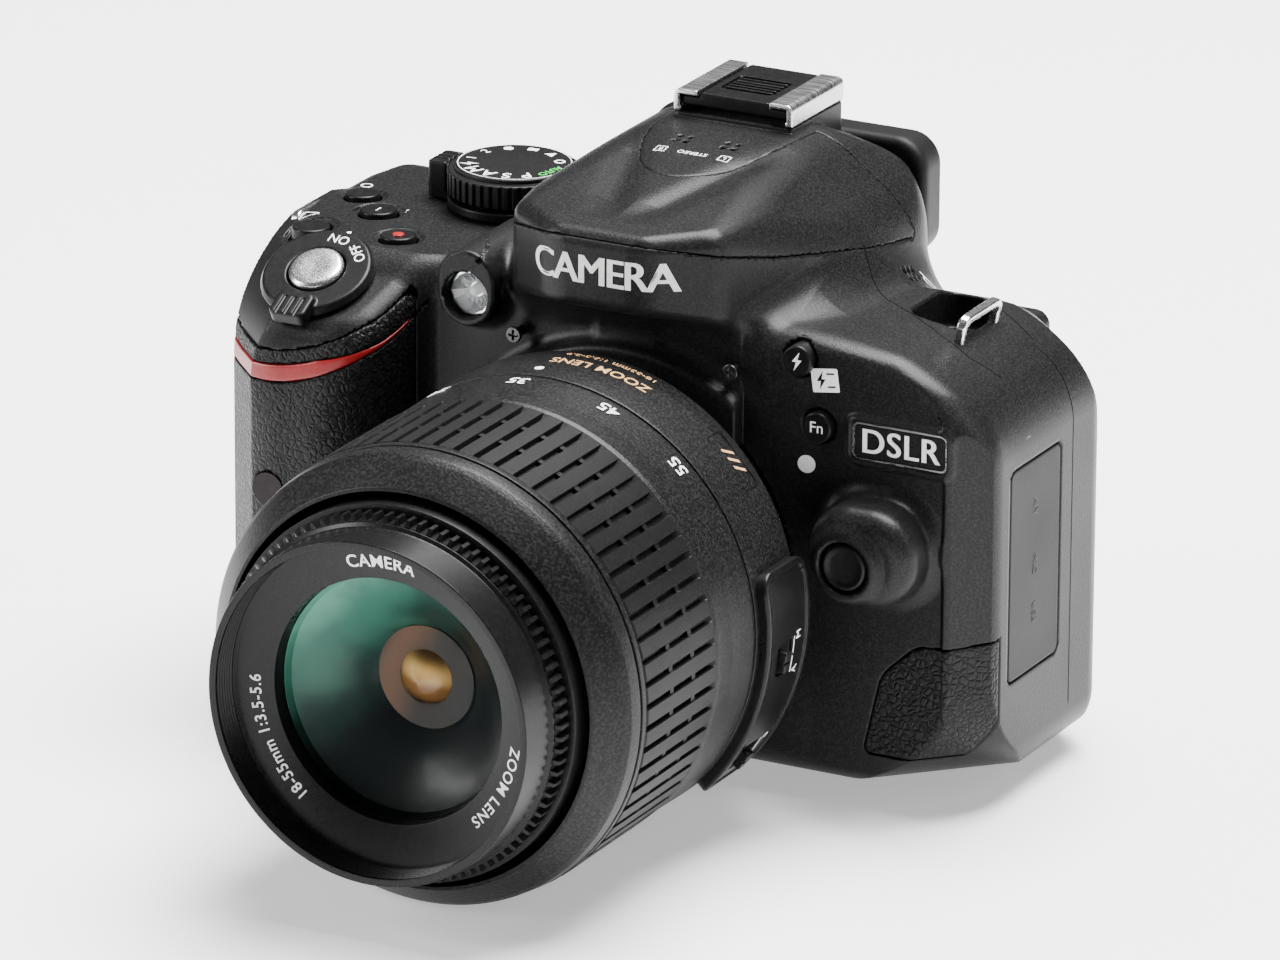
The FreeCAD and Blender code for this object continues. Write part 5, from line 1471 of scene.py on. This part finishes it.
def make_seams():
    """Parting lines on the right side and the right deck."""
    side = [(37.2, 8.0), (37.2, 62.0), (36.4, 66.0)]
    seam_line(side, ("deep_black", "rear_cover"), (RIGHT_X, 0, 0), SIDE_FACE)
    ahead = [(27.0, 32.0), (30.0, 29.6), (38.0, 25.6), (46.0, 21.0), (51.5, 20.0), (56.0, 22.0)]
    behind = [(54.0, 37.2), (48.0, 38.6), (43.0, 42.0), (40.0, 48.0)]
    for line in (ahead, behind):
        seam_line(line, ("deep_black", "top_cover"), (0, 0, HUMP_Z), TOP_FACE)


def make_dial_marks():
    """Mode letters and generic scene symbols on the dial's face."""
    key = ("white_mark", "mode_dial")
    centre = np.array([DIAL_X, DIAL_Y, 82.82])
    marks = [(angle, lettering(letter, 3.5, 0.1, 1.0, 0.02))
             for angle, letter in ((-122, "M"), (-97, "A"), (-72, "S"), (-47, "P"))]
    marks += [(30, shape([circle(0.9), circle(0.55)])), (62, shape([[(-1, -0.8), (1, -0.8), (0, 0.9)]])),
              (94, shape([rounded(0.9, 0.6, 0.2)])), (126, shape([circle(0.8)])),
              (158, lettering("2", 2.4)), (190, lettering("1", 2.4)), (214, shape([BOLT]))]
    marks = [(key, 7.2, angle, mark) for angle, mark in marks]
    marks.append((("green_mark", "mode_dial"), 7.4, -12.0, lettering("AUTO", 1.9, 0.1, 1.0, 0.02)))
    for paint, reach, angle, mark in marks:
        a = math.radians(angle)
        out = np.array([math.cos(a), math.sin(a), 0.0])
        flat(mark, paint, centre + out * reach, ((out[1], -out[0], 0.0), out))
    flat(shape([circle(9.15, 96), circle(9.0, 96)]), key, centre, TOP_FACE)


def make_deck_marks():
    """Marks around the power switch and the top buttons."""
    top = ("white_mark", "top_cover")
    across = np.array([1.0, 0.0, 0.0])
    along = np.array([0.0, SHUTTER_AXIS[2], -SHUTTER_AXIS[1]])
    for angle, text in ((84.0, "ON"), (42.0, "OFF")):
        outward = across * math.cos(math.radians(angle)) + along * math.sin(math.radians(angle))
        at = SHUTTER + SHUTTER_AXIS * 1.84 + outward * 7.0
        flat(lettering(text, 2.4, 0.08, 1.0, 0.01), ("white_mark", "power_switch"), at,
             (np.cross(-outward, SHUTTER_AXIS), -outward))
    on_skin(shape([rounded(0.35, 1.5, 0.3)]), top, (-53.0, 9.6, SHOULDER_Z), TOP_FACE, 12.0)
    exposure = shape([rounded(1.3, 1.3, 0.2), rounded(1.1, 1.1, 0.2),
                      [(-0.9, -0.9), (0.9, 0.9), (0.9, -0.9)]])
    for x, y, mark in ((-63.8, 16.4, exposure), (-50.6, 24.6, lettering("i", 2.2)),
                       (-62.6, 33.2, shape([circle(1.0), circle(0.75)]))):
        on_skin(mark, top, (x, y, SHOULDER_Z), TOP_FACE)
    x, y, _ = TOP_BUTTONS["info_button"]
    flat(lettering("i", 2.4), ("white_mark", "info_button"), (x, y, skin_height(x, y) + 0.85), TOP_FROM_FRONT)
    at = (32.4, 44.5, RIGHT_SHOULDER_Z)
    on_skin(shape([rounded(0.18, 1.8, 0.1)]), top, at, ((0, 1, 0), (-1, 0, 0)))
    on_skin(shape([circle(1.1), circle(0.85)]), top, at, TOP_FACE)


def make_lens_marks():
    """Zoom numbers, index dot, gold band marks and name-ring figures."""
    key = ("white_mark", "zoom_ring")
    for angle, text in ((48, "55"), (70, "45"), (95, "35"), (118, "24"), (142, "18")):
        on_ring(lettering(text, 3.7, 0.08, 0.95, 0.03), key, angle, -25.6, 36.5)
    on_ring(shape([circle(0.75)]), ("white_mark", "lens_barrel"), 95, -18.9, 36.5)
    gold = ("gold_mark", "lens_barrel")
    on_ring(lettering("ZOOM LENS", 3.0, 0.08, 1.05, 0.04), gold, 82, -14.2, 36.5)
    on_ring(lettering("18-55mm 1:3.5-5.6", 2.0, 0.08, 1.05, 0.02), gold, 82, -10.6, 36.3)
    on_ring(shape([[(-19.5, 2.3), (19.5, 2.3), (19.5, 2.5), (-19.5, 2.5)]], 0.08), gold, 82, -10.3, 36.4)
    frame_mark = shape([rounded(5.2, 2.2, 0.9), rounded(5.0, 2.0, 0.8)])
    on_ring(frame_mark, ("smooth_black", "lens_barrel"), 42, -12.3, 36.5)
    for k in (-1.6, 0.0, 1.6):
        stripe = [(k - 0.9, -1.1), (k - 0.4, -1.1), (k + 0.9, 1.1), (k + 0.4, 1.1)]
        on_ring(shape([stripe]), gold, 42, -12.3, 36.5)
    key = ("white_mark", "focus_ring")
    on_front_ring(lettering("CAMERA", 2.9, 0.06, 1.05, 0.04), key, 92, 22.4)
    on_front_ring(lettering("18-55mm 1:3.5-5.6", 2.5, 0.06, 1.1, 0.02), key, 205, 22.4)
    on_front_ring(lettering("ZOOM LENS", 2.5, 0.06, 1.15, 0.02), key, -28, 22.4)
    key = ("white_mark", "lens_barrel")
    for angle, text in ((-3.5, "M"), (-12.5, "A"), (-31.5, "0"), (-40.5, "1")):
        on_ring(lettering(text, 2.0), key, angle, -11.2, 38.08)
    for angle in (-8.0, -36.0):
        for side in (-1, 1):
            mark = shape([[(side * 0.3, -0.1), (side * 3.0, -0.1), (side * 3.0, 0.1), (side * 0.3, 0.1)]])
            on_ring(mark, key, angle, -12.6, 38.08)


def make_door_marks():
    """Socket labels on the connector cover."""
    for z, text in ((45.0, "A/V"), (35.5, "MIC"), (27.5, "USB")):
        on_skin(lettering(text, 2.0, 0.10), ("satin_black", "connector_cover"), (RIGHT_X, 24.0, z), SIDE_FACE,
                -90.0)


# ---------------------------------------------------------------- inside parts that keep their CAD shape
KEPT = {
    "mirror_box": "deep_black", "lens_mount": "steel", "tripod_bush": "brass", "image_sensor": "sensor_glass",
    "main_board": "board_paint", "pentamirror": "satin_black", "shutter_unit": "blade_black",
    "battery": "battery_plastic", "memory_card": "card_plastic", "connector_panel": "satin_black",
    "ir_windows": "receiver", "mirror": "mirror", "flash_window": "clear_window",
    "monitor_arm": "satin_black", "monitor_glass": "monitor_glass",
}


def paint_kept():
    for node, material in KEPT.items():
        obj = frame["nodes"][node]
        obj.data.materials.clear()
        obj.data.materials.append(MATERIALS[material])


# ---------------------------------------------------------------- stage, light and camera
FLOOR_REACH = 8.0


def make_stage():
    """Plain pale floor just under the object."""
    mesh = bpy.data.meshes.new("floor")
    low = CAD_SIZE[0][2] - 0.0002
    corners = [(FLOOR_REACH * x, FLOOR_REACH * y, low) for x, y in ((-1, -1), (1, -1), (1, 1), (-1, 1))]
    mesh.from_pydata(corners, [], [(0, 1, 2, 3)])
    floor = bpy.data.objects.new("floor", mesh)
    bpy.context.scene.collection.objects.link(floor)
    material, nodes, links, shader = new_material("floor")
    vector = nodes.new("ShaderNodeTexCoord").outputs["Object"]
    tone = noise(nodes, links, 3.0, 3.0, vector)
    links.new(ramp(nodes, links, tone, 0.3, 0.7, (0.87, 0.87, 0.87), (0.89, 0.89, 0.89)),
              shader.inputs["Base Color"])
    shader.inputs["Roughness"].default_value = 0.75
    shader.inputs["Emission Color"].default_value = (1.0, 1.0, 1.0, 1.0)
    shader.inputs["Emission Strength"].default_value = 0.50
    mesh.materials.append(material)


def area_light(name, at, target, size, power):
    light = bpy.data.lights.new(name, "AREA")
    light.shape = "RECTANGLE"
    light.size, light.size_y = size
    light.energy = power
    obj = bpy.data.objects.new(name, light)
    obj.location = at
    obj.rotation_euler = (Vector(target) - Vector(at)).to_track_quat("-Z", "Y").to_euler()
    bpy.context.scene.collection.objects.link(obj)


WORLD_STRENGTH = 0.12


def make_light():
    """A large soft box above, a strip on the left, a weak one on the right, and a faint white world."""
    middle = (0.0, -0.02, 0.05)
    area_light("top_box", (0.10, 0.25, 1.1), middle, (0.9, 0.7), 76.0)
    area_light("left_box", (-1.1, -0.75, 0.55), middle, (0.35, 0.9), 20.0)
    area_light("right_box", (1.2, 0.15, 0.55), middle, (0.35, 0.9), 4.0)
    white = (1.0, 1.0, 1.0, 1.0)
    world = bpy.data.worlds.new("studio")
    world.use_nodes = True
    background = world.node_tree.nodes["Background"]
    background.inputs["Color"].default_value = white
    background.inputs["Strength"].default_value = WORLD_STRENGTH
    bpy.context.scene.world = world


# Azimuth, elevation and roll in degrees; the rest in metres, and the focal length in millimetres
VIEW_ANGLES = (27.67, 19.41, 0.3)
VIEW_TARGET = (0.01495, -0.048, 0.05502)
VIEW_DISTANCE = 1.6
VIEW_LENS = 293.57


def make_camera():
    """Three-quarter view from the front, a little above, with a long lens."""
    azimuth, elevation, roll = (math.radians(angle) for angle in VIEW_ANGLES)
    level = math.cos(elevation)
    back = Vector((math.sin(azimuth) * level, -math.cos(azimuth) * level, math.sin(elevation)))
    camera = bpy.data.cameras.new("camera")
    camera.sensor_width = 36.0
    camera.lens = VIEW_LENS
    camera.clip_end = 20.0
    obj = bpy.data.objects.new("camera", camera)
    obj.location = Vector(VIEW_TARGET) + back * VIEW_DISTANCE
    turn = back.to_track_quat("Z", "Y").to_matrix()
    obj.rotation_euler = (turn @ Matrix.Rotation(roll, 3, "Z")).to_euler()
    bpy.context.scene.collection.objects.link(obj)
    bpy.context.scene.camera = obj


def main():
    make_materials()
    make_covers()
    make_buttons()
    make_controls()
    make_fittings()
    make_lens()
    make_marks()
    paint_kept()
    make_stage()
    make_light()
    make_camera()


main()
